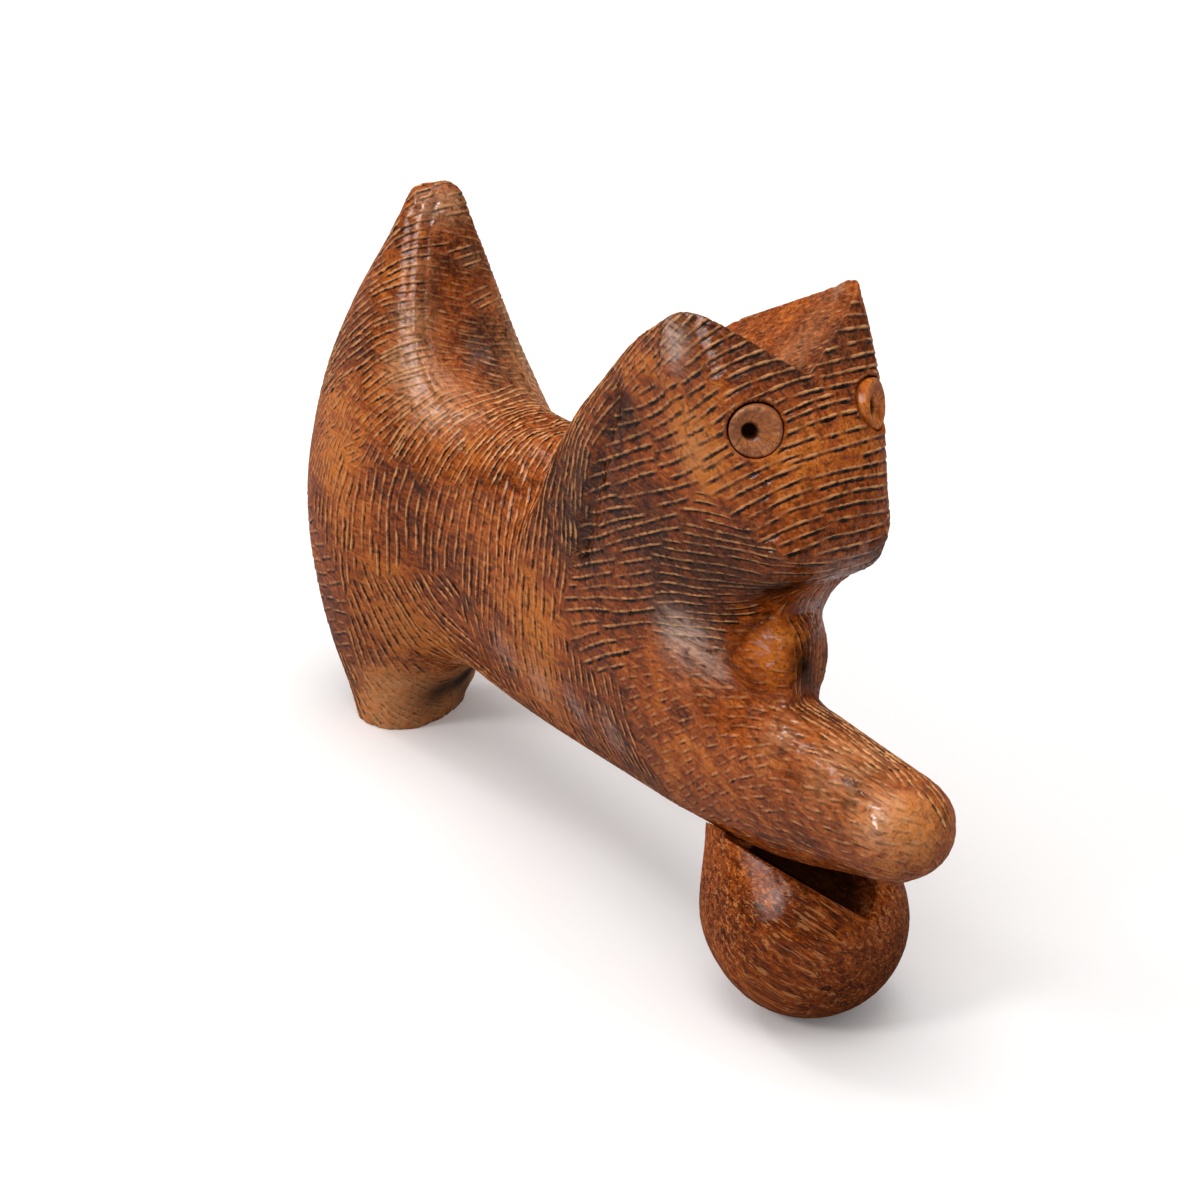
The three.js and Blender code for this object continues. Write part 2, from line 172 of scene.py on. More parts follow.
def waves(points, size, seed, count=9):
    """Smooth noise about 0, between about -1 and 1, whose bumps are about size across."""
    draw = np.random.default_rng(seed)
    total = np.zeros(len(points))
    for _ in range(count):
        way = unit(draw.normal(size=3)) * (2 * math.pi / size) * draw.uniform(0.35, 0.75)
        total += np.sin(points @ way + draw.uniform(0, 2 * math.pi))
    return total / math.sqrt(count)


def grit(points, seed):
    """Rough noise between 0 and 1, whose bumps are one unit across."""
    base = np.floor(points).astype(np.int64)
    share = points - base
    share = share * share * (3 - 2 * share)
    total = np.zeros(len(points))
    for corner in range(8):
        step = np.array([corner & 1, (corner >> 1) & 1, (corner >> 2) & 1])
        mixed = np.bitwise_xor.reduce((base + step) * HASH_CELL, axis=1) ^ (seed * HASH_SEED)
        mixed = (mixed & HASH_BITS) * HASH_MIX[0] & HASH_BITS
        mixed = (mixed ^ (mixed >> 15)) * HASH_MIX[1] & HASH_BITS
        value = ((mixed ^ (mixed >> 13)) & HASH_LOW) / HASH_LOW
        total += np.where(step, share, 1 - share).prod(1) * value
    return total


def new_object(name, mesh):
    piece = bpy.data.objects.new(name, mesh)
    bpy.context.scene.collection.objects.link(piece)
    return piece


def read_rows(rows, field, width, kind):
    """A field of mesh data as an array, width numbers per row."""
    flat = np.zeros(len(rows) * width, kind)
    rows.foreach_get(field, flat)
    return flat.reshape(-1, width)


def vertex_points(mesh):
    return read_rows(mesh.vertices, "co", 3, np.float32).astype(float)


def vertex_normals(mesh):
    return read_rows(mesh.vertex_normals, "vector", 3, np.float32).astype(float)


def set_vertices(mesh, points):
    mesh.vertices.foreach_set("co", points.astype(np.float32).ravel())
    mesh.update()


def keep_values(mesh, **fields):
    """Keeps one number per vertex under each name, for the materials."""
    for name, values in fields.items():
        data = mesh.attributes.new(name, "FLOAT", "POINT").data
        data.foreach_set("value", np.asarray(values, np.float32))


def point_tree(points):
    """A search tree of points, for the one nearest to a place."""
    tree = kdtree.KDTree(len(points))
    for i, p in enumerate(points):
        tree.insert(p, i)
    tree.balance()
    return tree


def surface_tree(mesh, points):
    """A search tree of a mesh's faces with its vertices at points, for rays from the camera."""
    return BVHTree.FromPolygons([Vector(p) for p in points], [tuple(f.vertices) for f in mesh.polygons])


def pixel_place(tree, px, py):
    """The place on the surface that a pixel shows and the way the surface faces there, or None for both."""
    hit, facing, _, _ = tree.ray_cast(Vector(EYE_POINT), Vector(pixel_ray(px, py)))
    return (None, None) if hit is None else (np.array(hit), np.array(facing))


def around_axis(points, centre, axis):
    """How far along an axis points lie, the vectors from the axis to them, and the lengths of those."""
    offset = points - centre
    along = offset @ axis
    flat = offset - along[:, None] * axis
    return along, flat, np.linalg.norm(flat, axis=1)


def neighbour_mean(values, edges, count):
    """Mean of each vertex's neighbours, for three numbers per vertex."""
    a, b = edges[:, 0], edges[:, 1]
    total = np.empty_like(values)
    for k in range(values.shape[1]):
        c = values[:, k]
        total[:, k] = np.bincount(a, c[b], len(c)) + np.bincount(b, c[a], len(c))
    return total / count[:, None]


def sharp_points(mesh):
    """Points along the edges of a solid that fold by more than SHARP_ANGLE."""
    work = bmesh.new()
    work.from_mesh(mesh)
    bmesh.ops.remove_doubles(work, verts=work.verts, dist=WELD * MM)
    found = []
    for edge in work.edges:
        if len(edge.link_faces) == 2 and edge.calc_face_angle(0) > math.radians(SHARP_ANGLE):
            a, b = (v.co for v in edge.verts)
            steps = max(2, int((b - a).length / (SHARP_STEP * MM)))
            found += [a.lerp(b, i / steps) for i in range(steps + 1)]
    work.free()
    return found


def dense_copy(name, node, voxel, rounds):
    """A fine even mesh of a CAD node: its facets are smoothed out and its sharp edges kept."""
    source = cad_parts[node].data
    piece = new_object(name, source.copy())
    piece.data.materials.clear()
    weld = piece.modifiers.new("weld", "WELD")
    weld.merge_threshold = WELD * MM
    remesh = piece.modifiers.new("remesh", "REMESH")
    remesh.mode = "VOXEL"
    remesh.voxel_size = voxel * MM
    graph = bpy.context.evaluated_depsgraph_get()
    mesh = bpy.data.meshes.new_from_object(piece.evaluated_get(graph))
    piece.modifiers.clear()
    piece.data = mesh
    mesh.name = name
    points = vertex_points(mesh)
    edges = read_rows(mesh.edges, "vertices", 2, np.int32)
    count = np.bincount(edges.ravel(), minlength=len(points)).astype(float)
    keep = np.ones(len(points))
    ridge = sharp_points(source)
    if ridge:
        tree = point_tree(ridge)
        near = np.array([tree.find(p)[2] for p in points]) / MM
        keep = np.clip((near - SHARP_NEAR) / (SHARP_FAR - SHARP_NEAR), SHARP_LEAST, 1)
    for _ in range(rounds):
        points += (neighbour_mean(points, edges, count) - points) * (SMOOTH_RATE * keep)[:, None]
    points[:, 2] = np.clip(points[:, 2], 0, None)
    set_vertices(mesh, points)
    mesh.shade_smooth()
    return piece


# Eyes: they look out of the two halves of the face. The profile runs from the middle of the back, round the
# rim, to the bottom of the pupil hole: radius and depth behind the front.
FACE_TURN = 38
FACE_LEAN = 10
EYE_RADIUS = 4.5
EYE_SHIFT = np.array((0.08, -0.09))
EYE_SIDES = 144
EYE_PROFILE = (
    (0, -4.0), (4.2, -4.0), (4.4, -3.8), (4.4, -0.45), (4.34, -0.22), (4.18, -0.06), (3.95, 0.0),
    (3.7, 0.0), (3.5, -0.05), (3.2, -0.16), (2.9, -0.28), (2.6, -0.4), (2.3, -0.5), (2.0, -0.6),
    (1.75, -0.7), (1.5, -0.85), (1.3, -1.1), (1.15, -1.5), (1.05, -2.1), (0.95, -2.8), (0, -2.9))
EYE_RELIEF = 0.07
BACK_DEPTH = -3.5
FACE_DEPTH = -0.9
FACE_EDGE = 4.3

# Pupil: how far its hole lies off the middle, how far out the face slides with it, and where the painted
# shade in the hole ends.
PUPIL_SHIFT = np.array((-1.6, -0.2))
PUPIL_SPREAD = 3.6
PUPIL_EDGE = 1.75
PUPIL_SOFT = 0.5

# Marks on an eye: how fast their noise changes around and outward, and what is added to the seed. Then where
# scratches and pale specks begin, how soon they are full, their shares, and the worn rim.
EYE_NOISES = {"tool": (9, 0.8, 0), "chatter": (3, 2.5, 7), "scratch": (13, 0.5, 20), "speck": (17, 0.6, 30)}
SCRATCH_FROM = 0.6
SCRATCH_SHARE = 0.6
SPECK_FROM = 0.66
SPECK_SHARE = 0.4
MARK_SPAN = 0.2
RIM_RADIUS = 3.95
RIM_HALF = 0.3
RIM_SHARE = 0.7

# Sockets: radius in the solid and in the fine mesh, how near a wall is to be rounded, how deep they count,
# the plain ring around them where strokes fade in, and the painted shade at their edge, most above and on the
# outer side.
SOCKET_CUT = 4.8
SOCKET_RADIUS = 4.68
SOCKET_SNAP = 0.28
SOCKET_DEEP = EYE_RADIUS * 1.4
PLAIN_DEEP = EYE_RADIUS * 2
PLAIN_RING = 0.3
PLAIN_FADE = 0.8
SHADE_HALF = 0.35
SHADE_MEAN = 0.45
SHADE_SWING = 0.6
SHADE_UP = 0.8
SHADE_OUT = 0.6


def eye_frame(side):
    """Centre and axis of an eye's node, how far its front is from the centre, and its way right and up."""
    turn = math.radians(side * FACE_TURN)
    lean = math.radians(FACE_LEAN)
    axis = np.array((math.sin(turn) * math.cos(lean), -math.cos(turn) * math.cos(lean), math.sin(lean)))
    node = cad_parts["right_eye" if side < 0 else "left_eye"]
    points = vertex_points(node.data) / MM
    centre = (points.max(0) + points.min(0)) / 2
    front = ((points - centre) @ axis).max()
    across = unit(np.cross((0, 0, 1), axis))
    return centre, axis, front, across, np.cross(axis, across)


EYES = [eye_frame(side) for side in (-1, 1)]


def ring_noise(angles, radius, seed, around, outward, shift):
    """Rough noise along a ring of an eye."""
    flat = np.ones(len(angles))
    return grit(np.column_stack((angles * around, flat * (radius * outward), flat * (seed + shift))), seed)


def turned_eye(name, placing, seed):
    """A turned disc with a worn rim, a dished face with radial tool marks and a pupil hole off its middle."""
    centre, axis, front, across, upward = placing
    vertices, rings, shade_level, scratches, worn = [], [], [], [], []
    for radius, depth in EYE_PROFILE:
        angles = 2 * math.pi * np.arange(EYE_SIDES if radius else 1) / EYE_SIDES
        noise = {key: ring_noise(angles, radius, seed, *values) for key, values in EYE_NOISES.items()}
        before_back = depth > BACK_DEPTH
        dished = depth > FACE_DEPTH
        marked = dished and radius < FACE_EDGE
        slide = max(0, 1 - radius / PUPIL_SPREAD) * before_back
        spots = np.column_stack((np.cos(angles), np.sin(angles))) * radius + EYE_SHIFT + PUPIL_SHIFT * slide
        heights = front + depth + EYE_RELIEF * (noise["tool"] + noise["chatter"] - 1) * dished
        rings.append(range(len(vertices), len(vertices) + len(angles)))
        vertices.extend((centre + np.outer(heights, axis) + spots @ np.array((across, upward))) * MM)
        # Painted shade in the pupil hole.
        shade_level.extend(np.full(len(angles), np.clip((PUPIL_EDGE - radius) / PUPIL_SOFT, 0, 1) * before_back))
        scratch = np.clip((noise["scratch"] - SCRATCH_FROM) / MARK_SPAN, 0, 1) * SCRATCH_SHARE
        speck = np.clip((noise["speck"] - SPECK_FROM) / MARK_SPAN, 0, 1) * SPECK_SHARE
        rim = RIM_SHARE * math.exp(-((radius - RIM_RADIUS) / RIM_HALF) ** 2) * noise["speck"]
        scratches.extend(scratch * marked)
        worn.extend((speck + rim) * marked)
    faces = []
    for low, high in zip(rings, rings[1:]):
        for k in range(EYE_SIDES):
            j = k + 1
            corners = (low[k % len(low)], low[j % len(low)], high[j % len(high)], high[k % len(high)])
            faces.append(list(dict.fromkeys(corners)))
    mesh = bpy.data.meshes.new(name)
    mesh.from_pydata(vertices, [], faces)
    keep_values(mesh, deep=shade_level, tick=scratches, worn=worn)
    mesh.shade_smooth()
    return new_object(name, mesh)


# Stroke fields. Each patch: gap between strokes, height of a ridge, share of lap (1 is a lapped board, 0 an
# even ridge), longest stroke, whether the other side has it too, and seeds as seen from the camera: pixel and
# direction. The steep side of a ridge lies to the right of its direction.
PATCHES = {
    "tail_side": (1.6, 0.2, 0.6, 24, True, (
        (424, 215, 8), (410, 215, 25), (425, 255, 6), (398, 250, 22), (375, 265, 42), (424, 300, 4),
        (395, 305, 18), (362, 310, 40), (420, 345, 6), (388, 350, 22), (350, 345, 42), (410, 375, 16),
        (375, 385, 35), (335, 390, 48))),
    "tail_front": (1.25, 0.1, 0.4, 7, False, (
        (440, 225, -4), (470, 235, -6), (432, 260, -8), (430, 300, -12), (432, 335, -15), (450, 280, -10),
        (485, 280, -6), (460, 330, -15), (505, 330, -12), (480, 375, -20), (525, 378, -14), (450, 365, 0))),
    "saddle": (1.5, 0.22, 0.5, 26, True, (
        (412, 410, 38), (440, 405, 35), (475, 408, 22), (510, 408, 14), (535, 415, 18), (555, 422, 28),
        (400, 440, 55), (430, 440, 50), (465, 437, 45), (500, 435, 40), (530, 440, 42), (555, 445, 55),
        (430, 465, 64), (465, 465, 58), (500, 462, 56), (530, 465, 62), (390, 415, 42), (375, 425, 48))),
    "flank": (2.5, 0.26, 0.35, 40, True, (
        (435, 500, 78), (470, 495, 72), (505, 495, 72), (535, 492, 74), (435, 515, 80), (555, 485, 78),
        (470, 515, 80), (505, 515, 80), (540, 515, 84), (562, 515, 88), (430, 555, 88), (465, 560, 88),
        (500, 560, 87), (535, 560, 85), (555, 560, 85), (480, 595, 88), (510, 600, 86), (540, 600, 86),
        (340, 480, 75), (375, 480, 80), (405, 485, 76),
        (335, 525, 88), (365, 525, 90), (395, 525, 90), (345, 558, 92), (380, 560, 92), (405, 560, 90))),
    "rump": (1.6, 0.14, 0.4, 7, True, (
        (330, 430, 30), (345, 420, 75), (330, 455, 80), (355, 445, 20), (370, 450, 60), (350, 400, 50))),
    "hind_leg": (2.2, 0.28, 0.4, 40, True, (
        (365, 585, 112), (395, 590, 118), (420, 590, 122), (445, 600, 128), (380, 625, 114), (405, 630, 122),
        (435, 630, 134), (460, 640, 142), (360, 650, 110), (390, 660, 125), (415, 660, 140), (440, 655, 155))),
    "foot": (1.5, 0.16, 0.3, 14, True, (
        (380, 700, 130), (400, 695, 150), (425, 695, 165), (450, 690, 178), (410, 712, 160), (435, 708, 172))),
    "heel": (2.6, 0.2, 0.6, 12, True, (
        (325, 570, 2), (330, 595, -2), (335, 620, -2), (340, 640, -4))),
    "shin": (2.2, 0.24, 0.4, 14, True, (
        (347, 668, 112), (354, 690, 112), (364, 712, 115))),
    "belly": (2.4, 0.2, 0.4, 9, True, (
        (478, 630, 104), (500, 650, 104), (525, 675, 104), (550, 660, 98), (560, 700, 105), (590, 720, 110),
        (620, 740, 115), (575, 680, 100), (540, 635, 95), (600, 700, 105))),
    "neck": (1.5, 0.2, 0.3, 18, True, (
        (565, 455, 78), (572, 490, 86), (565, 525, 90), (585, 430, 62), (597, 405, 58), (612, 385, 52),
        (580, 460, 80), (630, 372, 44), (650, 350, 48), (668, 335, 50))),
    "cheek": (2.2, 0.32, 0.9, 34, True, (
        (612, 440, 18), (640, 440, 20), (668, 440, 24), (600, 470, 15), (630, 470, 15), (660, 468, 18),
        (685, 460, 26), (596, 505, 13), (625, 500, 14), (655, 498, 14), (685, 490, 12), (590, 540, 10),
        (620, 535, 11), (650, 530, 12), (672, 520, 8), (585, 575, 8), (612, 575, 8), (645, 570, 8),
        (585, 610, 6), (615, 610, 6), (640, 600, 5), (590, 640, 8), (620, 640, 8), (625, 410, 22),
        (650, 400, 26), (675, 395, 32))),
    "face": (2.1, 0.3, 0.95, 40, False, (
        (690, 380, 36), (700, 410, 34), (700, 440, 32), (715, 470, 30), (725, 500, 30), (740, 500, 29),
        (765, 525, 28), (790, 545, 25), (720, 370, 28), (750, 370, 24), (780, 385, 20), (800, 410, 18),
        (800, 440, 18), (790, 470, 22), (760, 480, 27), (820, 470, 18), (820, 500, 20), (850, 500, 16),
        (850, 530, 18), (815, 535, 23), (860, 460, 12), (835, 440, 14), (830, 410, 12), (850, 400, 10),
        (830, 380, 12), (850, 350, 8), (845, 320, 6), (862, 345, 6), (870, 450, 10), (875, 500, 14),
        (868, 540, 14), (700, 345, 38), (720, 340, 34), (740, 340, 28))),
    "under_cheek": (1.6, 0.3, 0.8, 30, True, (
        (700, 505, -6), (690, 525, -8), (720, 520, -10), (745, 535, -10), (680, 550, -6), (710, 550, -10),
        (740, 555, -10), (770, 558, -8), (670, 575, -5), (700, 578, -10), (735, 580, -10), (770, 575, -5),
        (800, 572, 0), (665, 600, -6), (695, 600, -8), (725, 600, -6), (670, 622, -8), (700, 625, -5))),
    "throat": (1.4, 0.2, 0.5, 14, True, (
        (800, 592, 30), (815, 600, 60), (822, 630, 85), (815, 660, 85))),
    "foreleg": (1.7, 0.13, 0.4, 5, True, (
        (640, 665, 8), (670, 660, 6), (700, 660, 0), (650, 700, 22), (680, 700, 15), (710, 690, -5),
        (660, 735, 25), (695, 735, 25), (730, 720, 0), (760, 712, -8), (790, 725, -14), (690, 770, 28),
        (725, 760, 26), (760, 760, 10), (800, 760, -12), (840, 760, -20), (720, 800, 20), (760, 800, 5),
        (800, 800, -10), (840, 795, -15), (870, 780, -20), (900, 790, -24), (925, 805, -36), (760, 825, -20),
        (800, 840, -25), (840, 850, -20), (880, 840, -15), (910, 835, -10), (930, 835, -40))),
    "leg_edge": (1.2, 0.2, 0.4, 26, False, (
        (820, 715, -30), (850, 735, -35), (880, 757, -38), (905, 777, -44), (925, 797, -52), (935, 815, -62),
        (845, 750, -30), (872, 768, -34))),
    "stub": (1.3, 0.07, 0.2, 4, False, (
        (750, 650, 0), (780, 660, -10), (760, 680, 0))),
    "ear": (1.2, 0.1, 0.2, 3.5, True, (
        (780, 330, 20), (800, 350, 20), (810, 320, 20), (755, 326, 20))),
}


def place_seeds(tree):
    """Seeds on the surface: point, facing, direction, patch number and the patch's own values."""
    rows = []
    for number, (gap, rise, lap, reach, both, seeds) in enumerate(PATCHES.values()):
        values = (number, gap, rise, lap, reach)
        for px, py, angle in seeds:
            hit, facing = pixel_place(tree, px, py)
            if hit is None:
                continue
            ray = pixel_ray(px, py)
            turn = math.radians(angle)
            way = RIGHT * math.cos(turn) + UP * math.sin(turn)
            way = unit(way - ray * (way @ facing) / (ray @ facing))
            rows.append((hit, facing, way, values))
            if both:
                spot, across, _, _ = tree.find_nearest(Vector(hit * MIRROR))
                over = -1 if abs(way[0]) > OVER_BACK else 1
                rows.append((np.array(spot), np.array(across), way * MIRROR * over, values))
    return tuple(np.array(column) for column in zip(*rows))


# Broad tones as seen from the camera: pixel, size, and golden (above 0) or dark. Most are the wood's own tone;
# the lower flank, belly and foot are made golden with painted light, and under the chin, in the hollow behind
# the cheek and along the neck crease the wood is darkened with painted shade.
TONES_AND_PAINTED_LIGHT = (
    (336, 447, 13, 2.0), (450, 490, 9, 0.2), (525, 612, 10, 0.8), (545, 640, 8, 0.5), (692, 445, 6, 3.0),
    (712, 490, 5, 0.9), (765, 645, 7, 1.4), (400, 705, 9, 2.6), (428, 700, 7, 1.4), (655, 720, 10, 0.3),
    (905, 830, 9, 0.7), (780, 335, 9, 0.4), (640, 372, 8, 0.6), (700, 760, 10, 0.2), (440, 420, 12, 0.4),
    (390, 620, 12, 1.1), (430, 640, 8, 0.8), (545, 685, 11, 1.1), (600, 725, 9, 0.8), (790, 500, 14, 0.6),
    (910, 845, 6, 0.8), (820, 750, 9, 0.3), (405, 300, 9, 0.3), (476, 358, 9, -0.4), (465, 280, 9, -0.4),
    (640, 512, 12, -0.7), (575, 520, 9, -1.1), (622, 415, 6, -0.9), (725, 572, 10, -0.9), (765, 375, 9, -1.0),
    (872, 500, 9, -0.3), (335, 592, 9, -0.3), (800, 790, 9, -0.3), (620, 620, 9, -0.5))

# Places painted pale, partly wear from handling at the tips of tail, ear and paw, and partly painted
# highlights where light catches the tail, saddle, shoulder, leg and near ear, and painted light on the dim
# foot: pixel, size and share.
WEAR_AND_SHEEN = (
    (674, 338, 3.5, 0.8), (905, 830, 7, 0.7), (452, 203, 3.5, 1.0), (405, 708, 9, 1.8), (692, 448, 4, 0.5),
    (800, 345, 8, 0.4), (406, 372, 5, 1.6), (412, 320, 4, 0.9), (420, 270, 3, 0.5), (430, 400, 5, 1.0),
    (470, 412, 6, 0.4), (690, 643, 5, 0.7), (672, 632, 4, 0.5), (715, 672, 4, 0.4), (840, 765, 7, 0.7),
    (780, 735, 5, 0.5), (870, 815, 5, 0.7))

# Places where handling has polished the wood: pixel, size and share.
POLISHED = (
    (690, 643, 5, 0.9), (672, 632, 4, 0.6), (715, 672, 4, 0.5), (674, 338, 3.2, 0.9), (672, 356, 3, 0.5),
    (505, 652, 4, 0.35), (540, 682, 4, 0.35), (575, 708, 4, 0.35), (610, 732, 4, 0.35), (850, 572, 5, 0.3),
    (812, 612, 4, 0.3), (640, 300, 4, 0.3), (880, 825, 3, 0.35), (780, 728, 5, 0.3), (440, 205, 3, 0.3))

# Places on this side alone that stay duller than the rest, and how far the polish may go down there.
DULL = ((765, 650, 7, 0.3), (790, 640, 5, 0.2), (740, 655, 5, 0.2))
DULLEST = -0.15

# Painted shade, as dark spots: over the darker end grain of the stub under the head, on the foot under the
# arch, in the scratched hollow behind the cheek, and under chin and cheek.
SHADE_SPOTS = (
    (803, 662, 3.2, 0.9), (808, 680, 3.0, 0.7), (465, 676, 4.4, 1.1), (464, 692, 3.2, 0.6), (622, 412, 4, 0.6),
    (640, 430, 3, 0.4), (800, 585, 5, 0.6), (775, 590, 4, 0.5), (715, 572, 8, 0.35), (745, 590, 6, 0.35))

# Small swells of the form, and hollows where the height is below 0: pixel, size and height.
SWELLS = (
    (407, 212, 3.0, 0.5), (398, 228, 4.0, 0.3), (478, 205, 2.5, 0.3), (474, 684, 5.0, -1.8),
    (848, 287, 2.5, 0.4), (672, 325, 2.5, 0.35), (452, 295, 5.0, -0.45), (460, 335, 5.0, -0.5),
    (470, 366, 5.0, -0.4))

# Swells of the tucked left foreleg, on its own side only.
STUB_SWELLS = ((769, 651, 4.0, -0.9), (745, 655, 4.0, 0.5), (785, 636, 3.5, 0.5), (752, 642, 3.0, 0.3))


def spread(points, tree, spots, both=True):
    """Sum of soft spots that are placed by pixel, on this side and, where both, mirrored on the other."""
    total = np.zeros(len(points))
    for px, py, size, value in spots:
        hit, _ = pixel_place(tree, px, py)
        if hit is None:
            continue
        for spot in (hit, hit * MIRROR) if both else (hit,):
            total += value * np.exp(-((points - spot) ** 2).sum(1) / size ** 2)
    return total


# Lines that the carver drew into the form, as seen from the camera: height (below 0 is a crease), reach to
# its left and right, how much painted shade darkens it, whether the other side has it too, and its pixels.
LINES = {
    "tail_ridge": (0.8, 4.5, 0.9, 0, False, (
        (429, 198), (425, 212), (420, 238), (418, 272), (416, 307), (416, 331), (422, 355), (430, 378),
        (443, 402))),
    "tail_crease": (-0.6, 0.8, 1.6, 0.35, False, (
        (435, 200), (429, 222), (426, 245), (424, 272), (423, 307), (424, 331), (429, 350))),
    "cheek_ridge": (0.5, 2.2, 2.2, 0, True, (
        (661, 345), (668, 380), (680, 430), (698, 474), (715, 495), (732, 513), (762, 547), (800, 560))),
    "neck_crease": (-1.1, 3.0, 2.0, 0.5, True, (
        (612, 395), (604, 430), (596, 465), (588, 505), (578, 550))),
    "stub_crease": (-0.6, 0.9, 0.9, 0.5, False, (
        (726, 660), (738, 642), (755, 625), (775, 613))),
    "ear_crease": (-0.5, 0.6, 0.6, 0.8, True, (
        (661, 330), (659, 345), (660, 358))),
    "paw_ridge": (0.6, 3.0, 1.4, 0, False, (
        (862, 795), (876, 818), (884, 848), (892, 878))),
}
LINE_STEP = 3
LINE_LIMIT = 9
CREASE_SHADE_HALF = 0.55


def line_places(tree, corners):
    """Places on the surface along a line through pixels, LINE_STEP pixels apart."""
    places = []
    for (ax, ay), (bx, by) in zip(corners, corners[1:]):
        steps = max(1, int(math.hypot(bx - ax, by - ay) / LINE_STEP))
        for k in range(steps):
            hit, _ = pixel_place(tree, ax + (bx - ax) * k / steps, ay + (by - ay) * k / steps)
            if hit is not None:
                places.append(hit)
    return places


def drawn_lines(points, normals, tree):
    """Lift and painted shade of each vertex by the drawn lines, on this side and, where both, on the other."""
    lift = np.zeros(len(points))
    line_shading = np.zeros(len(points))
    for height, left, right, shade_level, both, corners in LINES.values():
        places = line_places(tree, corners)
        for flip in (1, -1) if both else (1,):
            line = np.array([tree.find_nearest(Vector(p * (flip, 1, 1)))[0] for p in places])
            ways = unit(np.gradient(line, axis=0))
            finder = point_tree(line)
            low, high = line.min(0) - LINE_LIMIT, line.max(0) + LINE_LIMIT
            near = np.nonzero(((points > low) & (points < high)).all(1))[0]
            found = [finder.find(points[i]) for i in near]
            index = np.array([f[1] for f in found])
            apart = np.array([f[2] for f in found])
            side = ((points[near] - line[index]) * np.cross(ways[index], normals[near])).sum(1) * flip
            width = np.where(side < 0, left, right)
            lift[near] += height * np.exp(-(apart / width) ** 2)
            # Painted shade along the creases, darkest on the line.
            line_shading[near] = np.maximum(line_shading[near], shade_level * np.exp(-(apart / CREASE_SHADE_HALF) ** 2))
    return lift, line_shading


def stroke_field(points, normals, tree):
    """For each vertex: stroke direction, then patch, gap, ridge height, lap and longest stroke."""
    spots, facings, ways, values = place_seeds(tree)
    patch_of = values[:, 0].astype(int)
    patches = range(len(PATCHES))
    direction = np.zeros_like(points)
    looks = np.zeros((len(points), values.shape[1]))
    for start in range(0, len(points), FIELD_CHUNK):
        part = slice(start, start + FIELD_CHUNK)
        apart = ((points[part, None] - spots) ** 2).sum(2)
        turned = (1 - normals[part] @ facings.T) * FACING_REACH
        score = apart + turned ** 2
        best = np.array([score[:, patch_of == k].min(1) for k in patches])
        ragged = np.array([waves(points[part], BORDER_SIZE, BORDER_SEED + k) for k in patches])
        patch = (best * (1 + BORDER_NOISE * ragged)).argmin(0)
        weight = (patch_of[None] == patch[:, None]) / (score + NEAR_SCORE) ** 2
        weight /= weight.sum(1, keepdims=True)
        direction[part] = weight @ ways
        looks[part] = weight @ values
        looks[part, 0] = patch
    direction -= normals * (direction * normals).sum(1, keepdims=True)
    direction = unit(direction + 1e-9)
    sway = WOBBLE * (waves(points, *LONG_WOBBLE) + SHORT_SHARE * waves(points, *SHORT_WOBBLE))
    return unit(direction + np.cross(normals, direction) * sway[:, None]), looks


